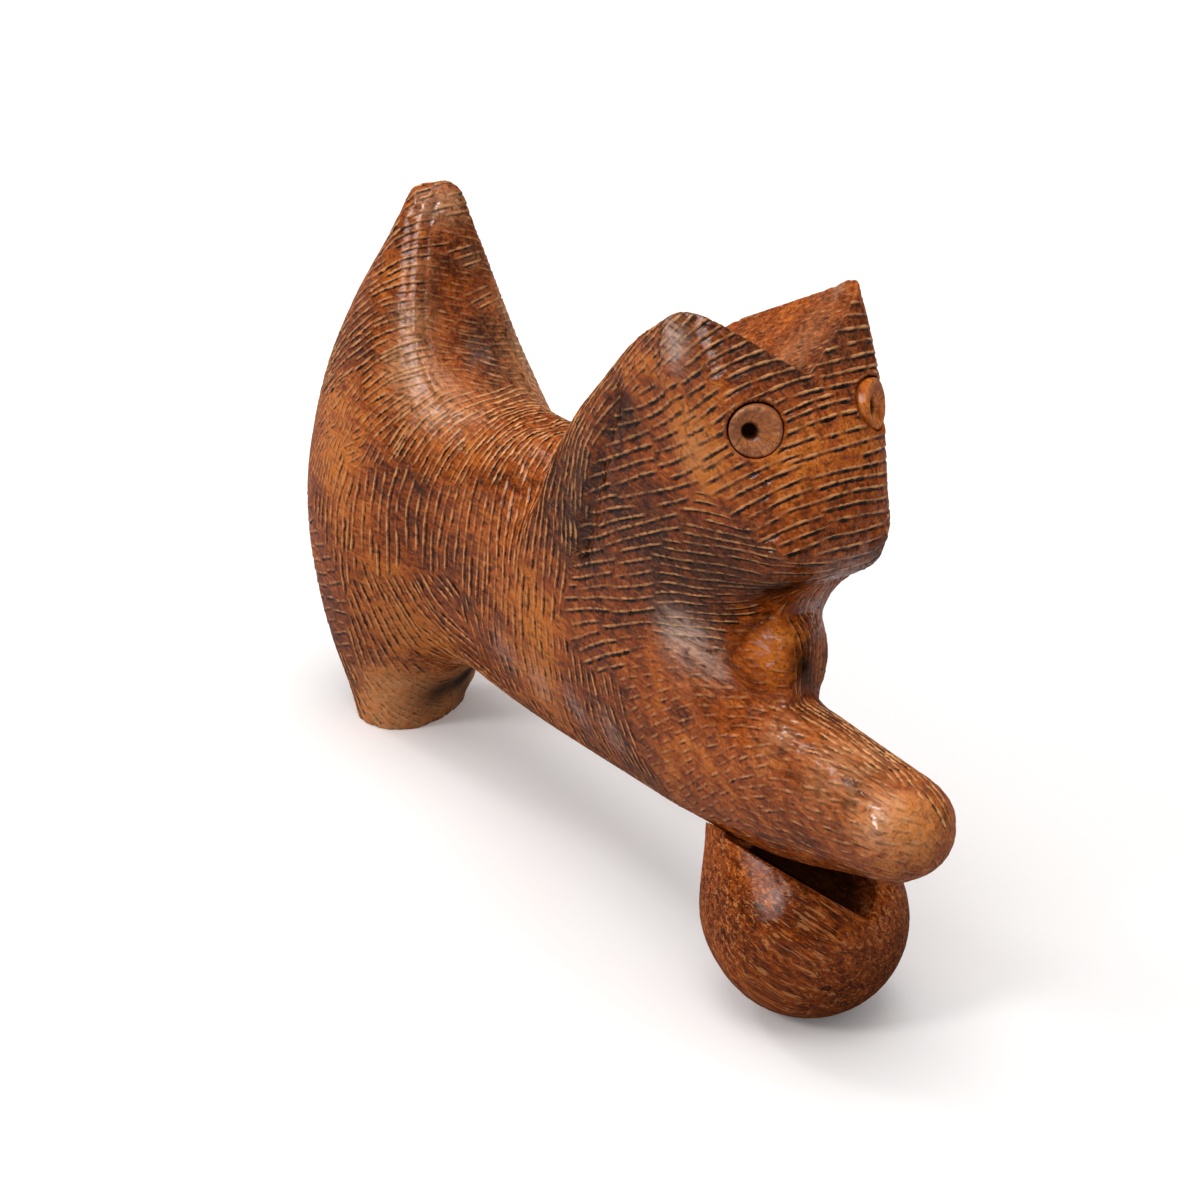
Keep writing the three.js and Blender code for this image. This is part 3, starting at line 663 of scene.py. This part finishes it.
def trace_strokes(points, normals, direction, looks):
    """Evenly spaced strokes that follow the field: points, directions, strength and place along them."""
    draw = random.Random(STROKE_SEED)
    tree = point_tree(points)
    where = points.tolist()
    facing = normals.tolist()
    way = direction.tolist()
    patch = looks[:, 0].astype(int).tolist()
    gap = looks[:, 1].tolist()
    reach = looks[:, 4].tolist()
    grid = {}

    def cell_of(x, y, z):
        return int(x // GRID_CELL), int(y // GRID_CELL), int(z // GRID_CELL)

    def crowded(x, y, z, least, own):
        limit = least * least
        for cell in product(*((k - 1, k, k + 1) for k in cell_of(x, y, z))):
            for a, b, c, line in grid.get(cell, ()):
                if line != own and (a - x) ** 2 + (b - y) ** 2 + (c - z) ** 2 < limit:
                    return True
        return False

    def run(index, x, y, z, sign, length, own):
        found = []
        home = patch[index]
        i = index
        for _ in range(int(length / STROKE_STEP)):
            d = way[i]
            x += sign * STROKE_STEP * d[0]
            y += sign * STROKE_STEP * d[1]
            z += sign * STROKE_STEP * d[2]
            i = tree.find((x, y, z))[1]
            n = facing[i]
            v = where[i]
            off = (x - v[0]) * n[0] + (y - v[1]) * n[1] + (z - v[2]) * n[2]
            x -= off * n[0]
            y -= off * n[1]
            z -= off * n[2]
            if patch[i] != home or crowded(x, y, z, STROKE_STOP * gap[i], own):
                break
            found.append((x, y, z, i))
        return found

    def beside(line):
        """Starts for the next strokes, one gap to either side of this one."""
        starts = []
        for a, b, c, k in line[::BESIDE_EVERY]:
            n, d, s = facing[k], way[k], gap[k]
            across = (n[1] * d[2] - n[2] * d[1], n[2] * d[0] - n[0] * d[2], n[0] * d[1] - n[1] * d[0])
            for side in (s, -s):
                spot = (a + side * across[0], b + side * across[1], c + side * across[2])
                near, other, far = tree.find(spot)
                if far < BESIDE_FAR:
                    starts.append((near[0], near[1], near[2], other))
        return starts

    order = list(range(0, len(points), START_EVERY))
    draw.shuffle(order)
    lines = []
    waiting = []
    for first in order:
        waiting.append((*where[first], first))
        while waiting:
            x, y, z, i = waiting.pop()
            if crowded(x, y, z, STROKE_START * gap[i], -1):
                continue
            own = len(lines)
            length = reach[i] * draw.uniform(*STROKE_LENGTHS)
            share = draw.uniform(*STROKE_AHEAD)
            ahead = run(i, x, y, z, 1, length * share, own)
            behind = run(i, x, y, z, -1, length * (1 - share), own)
            line = behind[::-1] + [(x, y, z, i)] + ahead
            if len(line) * STROKE_STEP < STROKE_LEAST:
                continue
            lines.append(line)
            for a, b, c, _ in line:
                grid.setdefault(cell_of(a, b, c), []).append((a, b, c, own))
            waiting += beside(line)
    spots, ways, strength, arcs = [], [], [], []
    for line in lines:
        press = draw.uniform(*STROKE_PRESS)
        start = draw.uniform(0, ARC_RANGE)
        for j, (x, y, z, i) in enumerate(line):
            end = min(j + 1, len(line) - j) * STROKE_STEP
            spots.append((x, y, z))
            ways.append(way[i])
            strength.append(press * min(1, end / STROKE_FADE))
            arcs.append(start + j * STROKE_STEP)
    return np.array(spots), np.array(ways), np.array(strength), np.array(arcs)


def away_from_eyes(points):
    """0 in and around the eye sockets, 1 elsewhere."""
    share = np.ones(len(points))
    for centre, axis, _, _, _ in EYES:
        along, _, radius = around_axis(points, centre, axis)
        plain = np.clip((radius - SOCKET_RADIUS - PLAIN_RING) / PLAIN_FADE, 0, 1)
        share = np.where(np.abs(along) < PLAIN_DEEP, np.minimum(share, plain), share)
    return share


def socket_shade(points):
    """Painted shade at the edge of each eye socket, most above and on the outer side."""
    shade = np.zeros(len(points))
    for centre, axis, _, across, upward in EYES:
        along, flat, radius = around_axis(points, centre, axis)
        outer = (flat @ upward * SHADE_UP - flat @ across * SHADE_OUT) / np.maximum(radius, 0.1)
        ring = np.exp(-((radius - SOCKET_RADIUS) / SHADE_HALF) ** 2) * (np.abs(along) < SOCKET_DEEP)
        shade += ring * np.clip(SHADE_MEAN + SHADE_SWING * outer, 0, 1)
    return shade


def round_sockets(points):
    """Moves the vertices of the socket walls onto true cylinders."""
    for centre, axis, _, _, _ in EYES:
        along, flat, radius = around_axis(points, centre, axis)
        wall = (np.abs(radius - SOCKET_CUT) < SOCKET_SNAP) & (np.abs(along) < SOCKET_DEEP)
        points[wall] += flat[wall] * (SOCKET_RADIUS / radius[wall] - 1)[:, None]


# The hind foot is turned out on the cat's left: where it lies along the body, how far its front corner moves
# back and out, and between which heights.
FOOT_FRONT = 60
FOOT_BACK = 86
FOOT_PIVOT = -8
FOOT_MARGIN = 15
FOOT_STEEP = 1.6
FOOT_TURN = 0.3
FOOT_WIDEN = 0.24
FOOT_WIDEN_LEAST = 0.3
FOOT_LOW = 4
FOOT_HIGH = 22


def turn_foot(points):
    """Moves the front left corner of the hind foot back and out, most near the floor."""
    lower = np.clip((FOOT_HIGH - points[:, 2]) / (FOOT_HIGH - FOOT_LOW), 0, 1)
    lower = lower * lower * (3 - 2 * lower) * (points[:, 1] > FOOT_FRONT - FOOT_MARGIN)
    front = np.clip((FOOT_BACK - points[:, 1]) / (FOOT_BACK - FOOT_FRONT) * FOOT_STEEP, 0, 1)
    points[:, 1] += FOOT_TURN * np.clip(points[:, 0] - FOOT_PIVOT, 0, None) * front * lower
    lower *= np.clip(points[:, 2] / FOOT_LOW, FOOT_WIDEN_LEAST, 1)
    points[:, 0] += FOOT_WIDEN * np.clip(points[:, 0], 0, None) * lower


def cut_strokes(points, normals, tree):
    """How far the strokes lift each vertex, and the marks along them that the wood paints."""
    direction, looks = stroke_field(points, normals, tree)
    looks[:, 2] *= away_from_eyes(points)
    spots, ways, strength, arcs = trace_strokes(points, normals, direction, looks)
    strength *= np.clip(PRESS_MEAN + PRESS_SWING * waves(spots, PRESS_SIZE, PRESS_SEED), *PRESS_LIMITS)
    finder = point_tree(spots)
    nearest = np.array([finder.find(p)[1] for p in points])
    away = points - spots[nearest]
    along = (away * ways[nearest]).sum(1)
    side = (away * np.cross(ways[nearest], normals)).sum(1)
    past = np.clip(np.abs(along) - STROKE_STEP, 0, None)
    gap, rise, lap = looks[:, 1], looks[:, 2], looks[:, 3]
    share = np.clip(np.hypot(side, past) / gap, 0, 1)
    off = side / gap
    ending = np.exp(-(past / STROKE_ENDING) ** 2)
    burr = np.exp(-((off - BURR_PLACE) / BURR_HALF) ** 2) * ending
    groove = np.exp(-((off - GROOVE_PLACE) / GROOVE_HALF) ** 2) * ending
    board = np.where(side < 0, 1 - share, share + (1 - share) * np.exp(-(share / STEEP) ** 2))
    even = np.exp(-(share / EVEN_HALF) ** 2)
    press = strength[nearest]
    depth = np.clip(rise / FULL_RISE, 0, 1)
    place = arcs[nearest] + along
    level = points[:, 2]
    bead = grit(np.column_stack((place / BEAD_LENGTH, 0 * place, level / BEAD_BAND)), BEAD_SEED)
    ticks = grit(np.column_stack((place / TICK_WIDTH, side / TICK_LENGTH, level / TICK_BAND)), TICK_SEED)
    tick = np.clip((ticks - TICK_FROM) / TICK_SPAN, 0, 1) * depth
    cut = lap * (board - 1) + (1 - lap) * EVEN_SHARE * (even - 1)
    lift = (cut + BURR_SHARE * burr * (BEAD_LEAST + bead) - GROOVE_SHARE * groove) * press * rise
    lift += STIPPLE_DEPTH * (grit(points / STIPPLE_SIZE, STIPPLE_SEED) - 0.5) - TICK_DEPTH * tick
    marks = {
        "ridge": np.abs(off - BURR_PLACE) * gap + past,
        "groove": (np.abs(off - GROOVE_PLACE) * gap + past) / (GROOVE_EVEN + GROOVE_LAPPED * lap),
        "press": press * depth,
        "tick": tick}
    return lift, marks


def carve(piece):
    """Shapes the foot, lines and swells, cuts the strokes and keeps what the wood paints as attributes."""
    mesh = piece.data
    points = vertex_points(mesh) / MM
    turn_foot(points)
    set_vertices(mesh, points * MM)
    normals = vertex_normals(mesh)
    tree = surface_tree(mesh, points)
    lift, line_shading = drawn_lines(points, normals, tree)
    lift += spread(points, tree, SWELLS) + spread(points, tree, STUB_SWELLS, False)
    points = points + normals * lift[:, None]
    set_vertices(mesh, points * MM)
    normals = vertex_normals(mesh)
    tree = surface_tree(mesh, points)
    lift, marks = cut_strokes(points, normals, tree)
    moved = points + normals * lift[:, None]
    round_sockets(moved)
    moved[:, 2] = np.clip(moved[:, 2], 0, None)
    set_vertices(mesh, moved * MM)
    # Tones of the wood, with painted light on the lower flank, belly and foot and painted shade under the
    # chin.
    tone = spread(points, tree, TONES_AND_PAINTED_LIGHT)
    # Pale wear, with painted highlights and painted light on the foot.
    worn = np.clip(spread(points, tree, WEAR_AND_SHEEN), 0, 1)
    polish = spread(points, tree, POLISHED) - spread(points, tree, DULL, False)
    polish = np.clip(polish, DULLEST, 1)
    # Painted shade: the dark spots, the dark creases of the drawn lines and the shaded edges of the eye
    # sockets.
    stain = np.clip(spread(points, tree, SHADE_SPOTS) + line_shading + socket_shade(points), 0, 1)
    keep_values(mesh, **marks, tone=tone, worn=worn, stain=stain, polish=polish)


# Ball: its middle and half width, its rough grain, the painted shade inside the slot under the paw, which
# fades to the right, and the painted shade on its lower right, both as the camera sees it.
BALL_CENTRE = np.array((-1.8, -63.3, 16.9))
BALL_HALF = 17.5
BALL_RELIEF = 0.06
COARSE_GRAIN = (0.8, 2.4, 0.8)
FINE_GRAIN = (0.5, 1.2, 0.5)
FINE_SHARE = 0.6
COARSE_SEED = 14
FINE_SEED = 15
SLOT_EDGE = 0.25
SLOT_SOFT = 0.9
SLOT_FADE = 0.7
SLOT_FADE_FROM = 7
SLOT_FADE_TO = 12
BALL_SHADE = 0.5
BALL_SHADE_WAY = 0.75 * RIGHT - 0.66 * UP
BALL_SHADE_FROM = 0.45
BALL_SHADE_SPAN = 0.5


def shade_ball(piece):
    """Gives the ball a slightly rough face and paints shade inside the slot and on the lower right."""
    mesh = piece.data
    points = vertex_points(mesh) / MM
    normals = vertex_normals(mesh)
    offset = points - BALL_CENTRE
    apart = np.linalg.norm(offset, axis=1)
    # Painted shade inside the slot and on the lower right, as the camera sees it.
    deep = np.clip((BALL_HALF - SLOT_EDGE - apart) / SLOT_SOFT, 0, 1) * (offset[:, 2] > 0)
    fade = np.clip((offset @ RIGHT - SLOT_FADE_FROM) / (SLOT_FADE_TO - SLOT_FADE_FROM), 0, 1)
    deep *= 1 - SLOT_FADE * fade
    lower_right = offset @ BALL_SHADE_WAY / BALL_HALF
    shade = BALL_SHADE * np.clip((lower_right - BALL_SHADE_FROM) / BALL_SHADE_SPAN, 0, 1)
    rough = grit(points / COARSE_GRAIN, COARSE_SEED) + FINE_SHARE * grit(points / FINE_GRAIN, FINE_SEED)
    points += normals * (BALL_RELIEF * (rough - (1 + FINE_SHARE) / 2))[:, None]
    points[:, 2] = np.clip(points[:, 2], 0, None)
    set_vertices(mesh, points * MM)
    keep_values(mesh, deep=np.maximum(deep, shade))


class Nodes:
    """A small helper that builds a node material."""

    def __init__(self, name):
        self.material = bpy.data.materials.new(name)
        self.material.use_nodes = True
        self.tree = self.material.node_tree
        self.shader = self.tree.nodes["Principled BSDF"]

    def add(self, kind, inputs=None, **settings):
        """A new node with these settings, whose inputs are linked or set."""
        node = self.tree.nodes.new(kind)
        for key, value in settings.items():
            setattr(node, key, value)
        for key, value in (inputs or {}).items():
            if isinstance(value, bpy.types.NodeSocket):
                self.tree.links.new(value, node.inputs[key])
            else:
                node.inputs[key].default_value = value
        return node

    def math(self, operation, a, b=0.0, clamp=False):
        return self.add("ShaderNodeMath", {0: a, 1: b}, operation=operation, use_clamp=clamp).outputs[0]

    def mix(self, factor, a, b):
        """A colour between a and b. Sockets 6 and 7 and output 2 of the node are for colours."""
        return self.add("ShaderNodeMix", {0: factor, 6: a, 7: b}, data_type="RGBA").outputs[2]

    def noise(self, vector, scale, detail, rough, warp):
        inputs = {"Vector": vector, "Scale": scale, "Detail": detail, "Roughness": rough, "Distortion": warp}
        return self.add("ShaderNodeTexNoise", inputs).outputs["Fac"]

    def span(self, value, low, high):
        """0 where the value is at low, 1 where it is at high."""
        inputs = {"Value": value, "From Min": low, "From Max": high}
        return self.add("ShaderNodeMapRange", inputs).outputs["Result"]

    def ramp(self, value, stops):
        node = self.add("ShaderNodeValToRGB", {"Fac": value})
        bar = node.color_ramp
        while len(bar.elements) < len(stops):
            bar.elements.new(0.5)
        for element, (place, colour) in zip(bar.elements, stops):
            element.position = place
            element.color = colour
        return node.outputs["Color"]

    def attribute(self, name):
        return self.add("ShaderNodeAttribute", attribute_name=name).outputs["Fac"]

    def link(self, output, key):
        self.tree.links.new(output, self.shader.inputs[key])

    def set(self, **values):
        """Sets values of the shader; a name has _ in place of each space."""
        for key, value in values.items():
            self.shader.inputs[key.replace("_", " ")].default_value = value


def rgb(red, green, blue):
    """A colour as it is seen on a screen, 0 to 255, in linear light."""
    def linear(c):
        c /= 255
        return c / 12.92 if c <= 0.04045 else ((c + 0.055) / 1.055) ** 2.4
    return (linear(red), linear(green), linear(blue), 1)


# Colours of the wood, and their places along its tone. RIDGE is also the pale of the burrs, wear with painted
# highlights, and BLACK is also the painted shade.
DARK = rgb(66, 25, 8)
BROWN = rgb(124, 54, 18)
RUST = rgb(170, 80, 27)
GOLD = rgb(220, 124, 46)
PALE = rgb(236, 178, 128)
RIDGE = rgb(232, 162, 104)
BLACK = rgb(20, 7, 3)
CAT_STOPS = ((0.24, DARK), (0.42, BROWN), (0.58, RUST), (0.80, GOLD))
BALL_STOPS = ((0.22, DARK), (0.44, BROWN), (0.62, RUST), (0.86, GOLD))
EYE_STOPS = ((0.24, rgb(84, 42, 22)), (0.42, rgb(136, 78, 48)), (0.62, rgb(168, 102, 66)), (0.95, GOLD))
FAR_EYE_STOPS = ((0.25, BROWN), (0.45, RUST), (0.68, GOLD), (0.98, PALE))

# Noises of the wood: bumps per metre across and along the grain, detail, roughness and warp.
BROAD = (62, 34, 3, 0.5, 0.6)
PATCH = (300, 170, 3, 0.55, 1.0)
STREAK = (820, 130, 4, 0.6, 1.4)
FINE = (2300, 700, 3, 0.6, 0.8)
CURL = (640, 330, 2, 0.5, 2.2)
HAIRS_ACROSS = 1500
HAIRS = (2, 0.5, 1.2)
BEADS = (620.0, 3, 0.65, 0.6)
GRAIN_SIDE = Vector((0.3, 0.2, 1))

# Marks on their noise: where they begin and where they are full; for the curls, middle and half width.
DARK_HAIRS = (0.42, 0.34)
PALE_HAIRS = (0.57, 0.64)
PALE_CURL = (0.55, 0.04)
DARK_CURL = (0.42, 0.035)
CURL_STREAK = (0.4, 0.6)
CURL_PATCH = (0.35, 0.6)
PORES = (0.60, 0.70)
GLINTS = (0.40, 0.28)
WEAR_AND_SHEEN_STREAK = (0.3, 0.65)
PAINTED_SHADE_STREAK = (0.0, 0.35)

# Shares of the marks in the colour.
TONE_SHARE = 0.2
CURL_SHARE = 0.2
GLINT_SHARE = 0.2
TICK_SHARE = 0.5
WEAR_AND_SHEEN_SHARE = 0.6
PAINTED_SHADE_SHARE = 0.95
DEEP_SHADE_SHARE = 0.93

# Painted lines: field, where beads widen them, width, strength and colour; then least width and soft edge.
# The black lines in the grooves are dirt in the cuts with painted shade, and the pale lines on the burrs are
# wear with painted highlights.
PAINTED = (("groove", (0.3, 0.65), 0.27, 1.1, BLACK), ("ridge", (0.66, 0.38), 0.24, 0.95, RIDGE))
LINE_LEAST = 0.05
LINE_SOFT = 0.08

# Relief: shares of the fine, streak, hair and curl noises, strength, and depth in metres. Then the gloss.
RELIEF = (0.4, 0.4, 0.5, 0.2, -0.3)
BUMP_STRENGTH = 0.4
BUMP_DEPTH = 0.0002
ROUGHNESS = (0.4, 0.64)
COAT_ROUGHNESS = 0.17
COAT_IOR = 2.0
POLISH_COAT = 1.25


def wood(name, stops, carved=False, deep=False, grain=(0, 1, 0), fleck=0.35, hair=0.12,
         swings=(0.7, 0.7, 0.7, 0.2), hair_length=300, coat=0.11):
    """Oiled wood with its grain along a direction: golden and dark areas, streaks, curls and pores."""
    n = Nodes(name)
    spot = n.add("ShaderNodeTexCoord").outputs["Object"]
    along = Vector(grain).normalized()
    across = along.cross(GRAIN_SIDE).normalized()
    parts = {}
    for k, axis in enumerate((across, along, along.cross(across))):
        dot = n.add("ShaderNodeVectorMath", {0: spot, 1: axis}, operation="DOT_PRODUCT")
        parts[k] = dot.outputs["Value"]
    place = n.add("ShaderNodeCombineXYZ", parts).outputs[0]

    def grain_noise(wide, long, *shape):
        scaled = n.add("ShaderNodeMapping", {"Vector": place, "Scale": (wide, long, wide)}).outputs[0]
        return n.noise(scaled, 1.0, *shape)

    def line(value, middle, half):
        return n.span(n.math("ABSOLUTE", n.math("SUBTRACT", value, middle)), half, 0.0)

    def paint(colour, factor, share, tint, clamp=False):
        return n.mix(n.math("MULTIPLY", factor, share, clamp), colour, tint)

    broad, patch, streak, fine, curl = (grain_noise(*kind) for kind in (BROAD, PATCH, STREAK, FINE, CURL))
    hairs = grain_noise(HAIRS_ACROSS, hair_length, *HAIRS)
    tone = 0.5
    for noise, swing in zip((broad, patch, streak, fine), swings):
        tone = n.math("ADD", tone, n.math("MULTIPLY", n.math("SUBTRACT", noise, 0.5), swing))
    if carved:
        # The tones add painted light and painted shade in places.
        tone = n.math("ADD", tone, n.math("MULTIPLY", n.attribute("tone"), TONE_SHARE))
    pale_curl = n.math("MULTIPLY", line(curl, *PALE_CURL), n.span(streak, *CURL_STREAK))
    dark_curl = n.math("MULTIPLY", line(curl, *DARK_CURL), n.span(patch, *CURL_PATCH))
    colour = n.ramp(tone, stops)
    for mark, share, tint in (
            (n.span(hairs, *DARK_HAIRS), hair, BLACK), (n.span(hairs, *PALE_HAIRS), hair, RIDGE),
            (pale_curl, hair + CURL_SHARE, GOLD), (dark_curl, 2 * fleck, BLACK),
            (n.span(fine, *PORES), fleck, BLACK), (n.span(fine, *GLINTS), GLINT_SHARE, GOLD)):
        colour = paint(colour, mark, share, tint)
    if carved:
        colour = paint(colour, n.attribute("tick"), TICK_SHARE, BLACK)
        bead = n.noise(spot, *BEADS)
        # Black groove lines of dirt and painted shade, pale ridge lines of wear and painted highlights.
        for field, limits, width, line_shading, tint in PAINTED:
            wide = n.math("ADD", n.math("MULTIPLY", n.span(bead, *limits), width), LINE_LEAST)
            shown = n.span(n.math("SUBTRACT", n.attribute(field), wide), LINE_SOFT, -LINE_SOFT)
            colour = paint(colour, shown, n.math("MULTIPLY", n.attribute("press"), line_shading, True), tint)
        # Pale wear and painted highlights, broken by streaks.
        worn = n.math("MULTIPLY", n.attribute("worn"), n.span(streak, *WEAR_AND_SHEEN_STREAK))
        colour = paint(colour, worn, WEAR_AND_SHEEN_SHARE, PALE, True)
        # Painted shade from the dark spots, creases and socket edges, broken by streaks.
        stain = n.math("MULTIPLY", n.attribute("stain"), n.span(streak, *PAINTED_SHADE_STREAK))
        colour = paint(colour, stain, PAINTED_SHADE_SHARE, BLACK, True)
    if deep:
        # Painted shade in the ball's slot and lower right and in the eyes' pupil holes.
        colour = paint(colour, n.attribute("deep"), DEEP_SHADE_SHARE, BLACK)
    n.link(colour, "Base Color")
    height = 0.0
    for mark, share in zip((fine, streak, hairs, pale_curl, dark_curl), RELIEF):
        height = n.math("ADD", height, n.math("MULTIPLY", mark, share))
    bump = n.add("ShaderNodeBump", {"Height": height, "Strength": BUMP_STRENGTH, "Distance": BUMP_DEPTH})
    n.link(bump.outputs["Normal"], "Normal")
    rough = n.add("ShaderNodeMapRange", {"Value": streak, "To Min": ROUGHNESS[0], "To Max": ROUGHNESS[1]})
    n.link(rough.outputs["Result"], "Roughness")
    n.set(Specular_IOR_Level=0.0, Coat_Weight=coat, Coat_Roughness=COAT_ROUGHNESS, Coat_IOR=COAT_IOR)
    if deep:
        n.link(n.math("MULTIPLY", n.math("SUBTRACT", 1.0, n.attribute("deep"), True), coat), "Coat Weight")
    elif carved:
        gleam = n.math("MULTIPLY", n.span(streak, *WEAR_AND_SHEEN_STREAK), POLISH_COAT)
        n.link(n.math("ADD", n.math("MULTIPLY", n.attribute("polish"), gleam), coat, True), "Coat Weight")
    return n.material


# The ball's grain runs down to the right as the camera sees it. The eyes have a seed and colours each.
BALL_GRAIN = tuple(RIGHT * 0.84 - UP * 0.54)
BALL_SWINGS = (0.6, 0.2, 1.2, 0.08)
EYE_LOOKS = {"right": (3, EYE_STOPS), "left": (5, FAR_EYE_STOPS)}

body = dense_copy("carved_cat", "cat_body", BODY_VOXEL, BODY_ROUNDS)
carve(body)
body.data.materials.append(wood("tooled_wood", CAT_STOPS, carved=True))
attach(body, "root")
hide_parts("cat_body")

ball = dense_copy("carved_ball", "ball", BALL_VOXEL, BALL_ROUNDS)
shade_ball(ball)
ball.data.materials.append(wood("ball_wood", BALL_STOPS, deep=True, grain=BALL_GRAIN, fleck=0.15, hair=0.5,
                                swings=BALL_SWINGS, hair_length=120, coat=0.06))
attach(ball, "root")
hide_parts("ball")

for side, placing in zip(("right", "left"), EYES):
    seed, stops = EYE_LOOKS[side]
    eye = turned_eye("turned_" + side + "_eye", placing, seed)
    eye.data.materials.append(wood(side + "_eye_wood", stops, carved=True, deep=True, fleck=0.4))
    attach(eye, "root")
    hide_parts(side + "_eye")
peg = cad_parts["ball_peg"]
peg.data.materials.clear()
peg.data.materials.append(wood("peg_wood", EYE_STOPS))

# Studio: a white paper floor, half its side in metres, that bounces less light than it shows, a pale sky, and
# lamps: strength, width in degrees and the way to the lamp. The soft box lights gloss alone.
FLOOR_HALF = 40
PAPER_SEEN = (1.0, 0.975, 0.965, 1)
PAPER_GLOW = 0.09
PAPER_BOUNCE = (0.36, 0.34, 0.32, 1)
PAPER_ROUGHNESS = 0.9
WHITE = (1, 1, 1, 1)
HORIZON_LIGHT = 0.14
ZENITH_LIGHT = 0.78
LAMPS = {"overhead": (1.1, 44, (-0.1, -0.1, 0.99)), "left": (0.8, 16, (-0.8, 0.02, 0.6)),
         "back": (0.35, 10, (-0.25, 0.7, 0.67)), "soft_box": (4.0, 40, (-0.82, 0.02, 0.56))}

floor_mesh = bpy.data.meshes.new("floor")
corners = [(x * FLOOR_HALF, y * FLOOR_HALF, 0) for x, y in ((-1, -1), (1, -1), (1, 1), (-1, 1))]
floor_mesh.from_pydata(corners, [], [(0, 1, 2, 3)])
floor = new_object("floor", floor_mesh)
paper = Nodes("paper")
path = paper.add("ShaderNodeLightPath")
seen = paper.math("ADD", path.outputs["Is Camera Ray"], path.outputs["Is Glossy Ray"])
seen = paper.math("ADD", seen, path.outputs["Is Transmission Ray"], True)
paper.link(paper.mix(seen, PAPER_BOUNCE, PAPER_SEEN), "Base Color")
paper.link(paper.math("MULTIPLY", seen, PAPER_GLOW), "Emission Strength")
paper.set(Emission_Color=WHITE, Roughness=PAPER_ROUGHNESS, Specular_IOR_Level=0.0)
floor_mesh.materials.append(paper.material)

world = bpy.data.worlds.new("studio")
bpy.context.scene.world = world
world.use_nodes = True
sky = world.node_tree
direction = sky.nodes.new("ShaderNodeTexCoord")
height = sky.nodes.new("ShaderNodeSeparateXYZ")
level = sky.nodes.new("ShaderNodeMapRange")
level.inputs["To Min"].default_value = HORIZON_LIGHT
level.inputs["To Max"].default_value = ZENITH_LIGHT
sky.links.new(direction.outputs["Generated"], height.inputs[0])
sky.links.new(height.outputs["Z"], level.inputs["Value"])
sky.links.new(level.outputs["Result"], sky.nodes["Background"].inputs["Strength"])
sky.nodes["Background"].inputs["Color"].default_value = WHITE

for name, (energy, width, source) in LAMPS.items():
    sun = bpy.data.lights.new(name, "SUN")
    sun.energy = energy
    sun.angle = math.radians(width)
    lamp = new_object(name, sun)
    lamp.rotation_mode = "QUATERNION"
    lamp.rotation_quaternion = Vector(source).to_track_quat("Z", "Y")
    lamp.visible_diffuse = name != "soft_box"

camera = bpy.data.cameras.new("camera")
camera.lens = LENS
camera.sensor_width = SENSOR
camera.clip_start = CLIP_NEAR
camera.clip_end = CLIP_FAR
view = new_object("camera", camera)
view.location = EYE_POINT * MM
view.rotation_mode = "QUATERNION"
view.rotation_quaternion = Vector(BACK).to_track_quat("Z", "Y")
bpy.context.scene.camera = view
bpy.context.scene.view_settings.view_transform = "Standard"
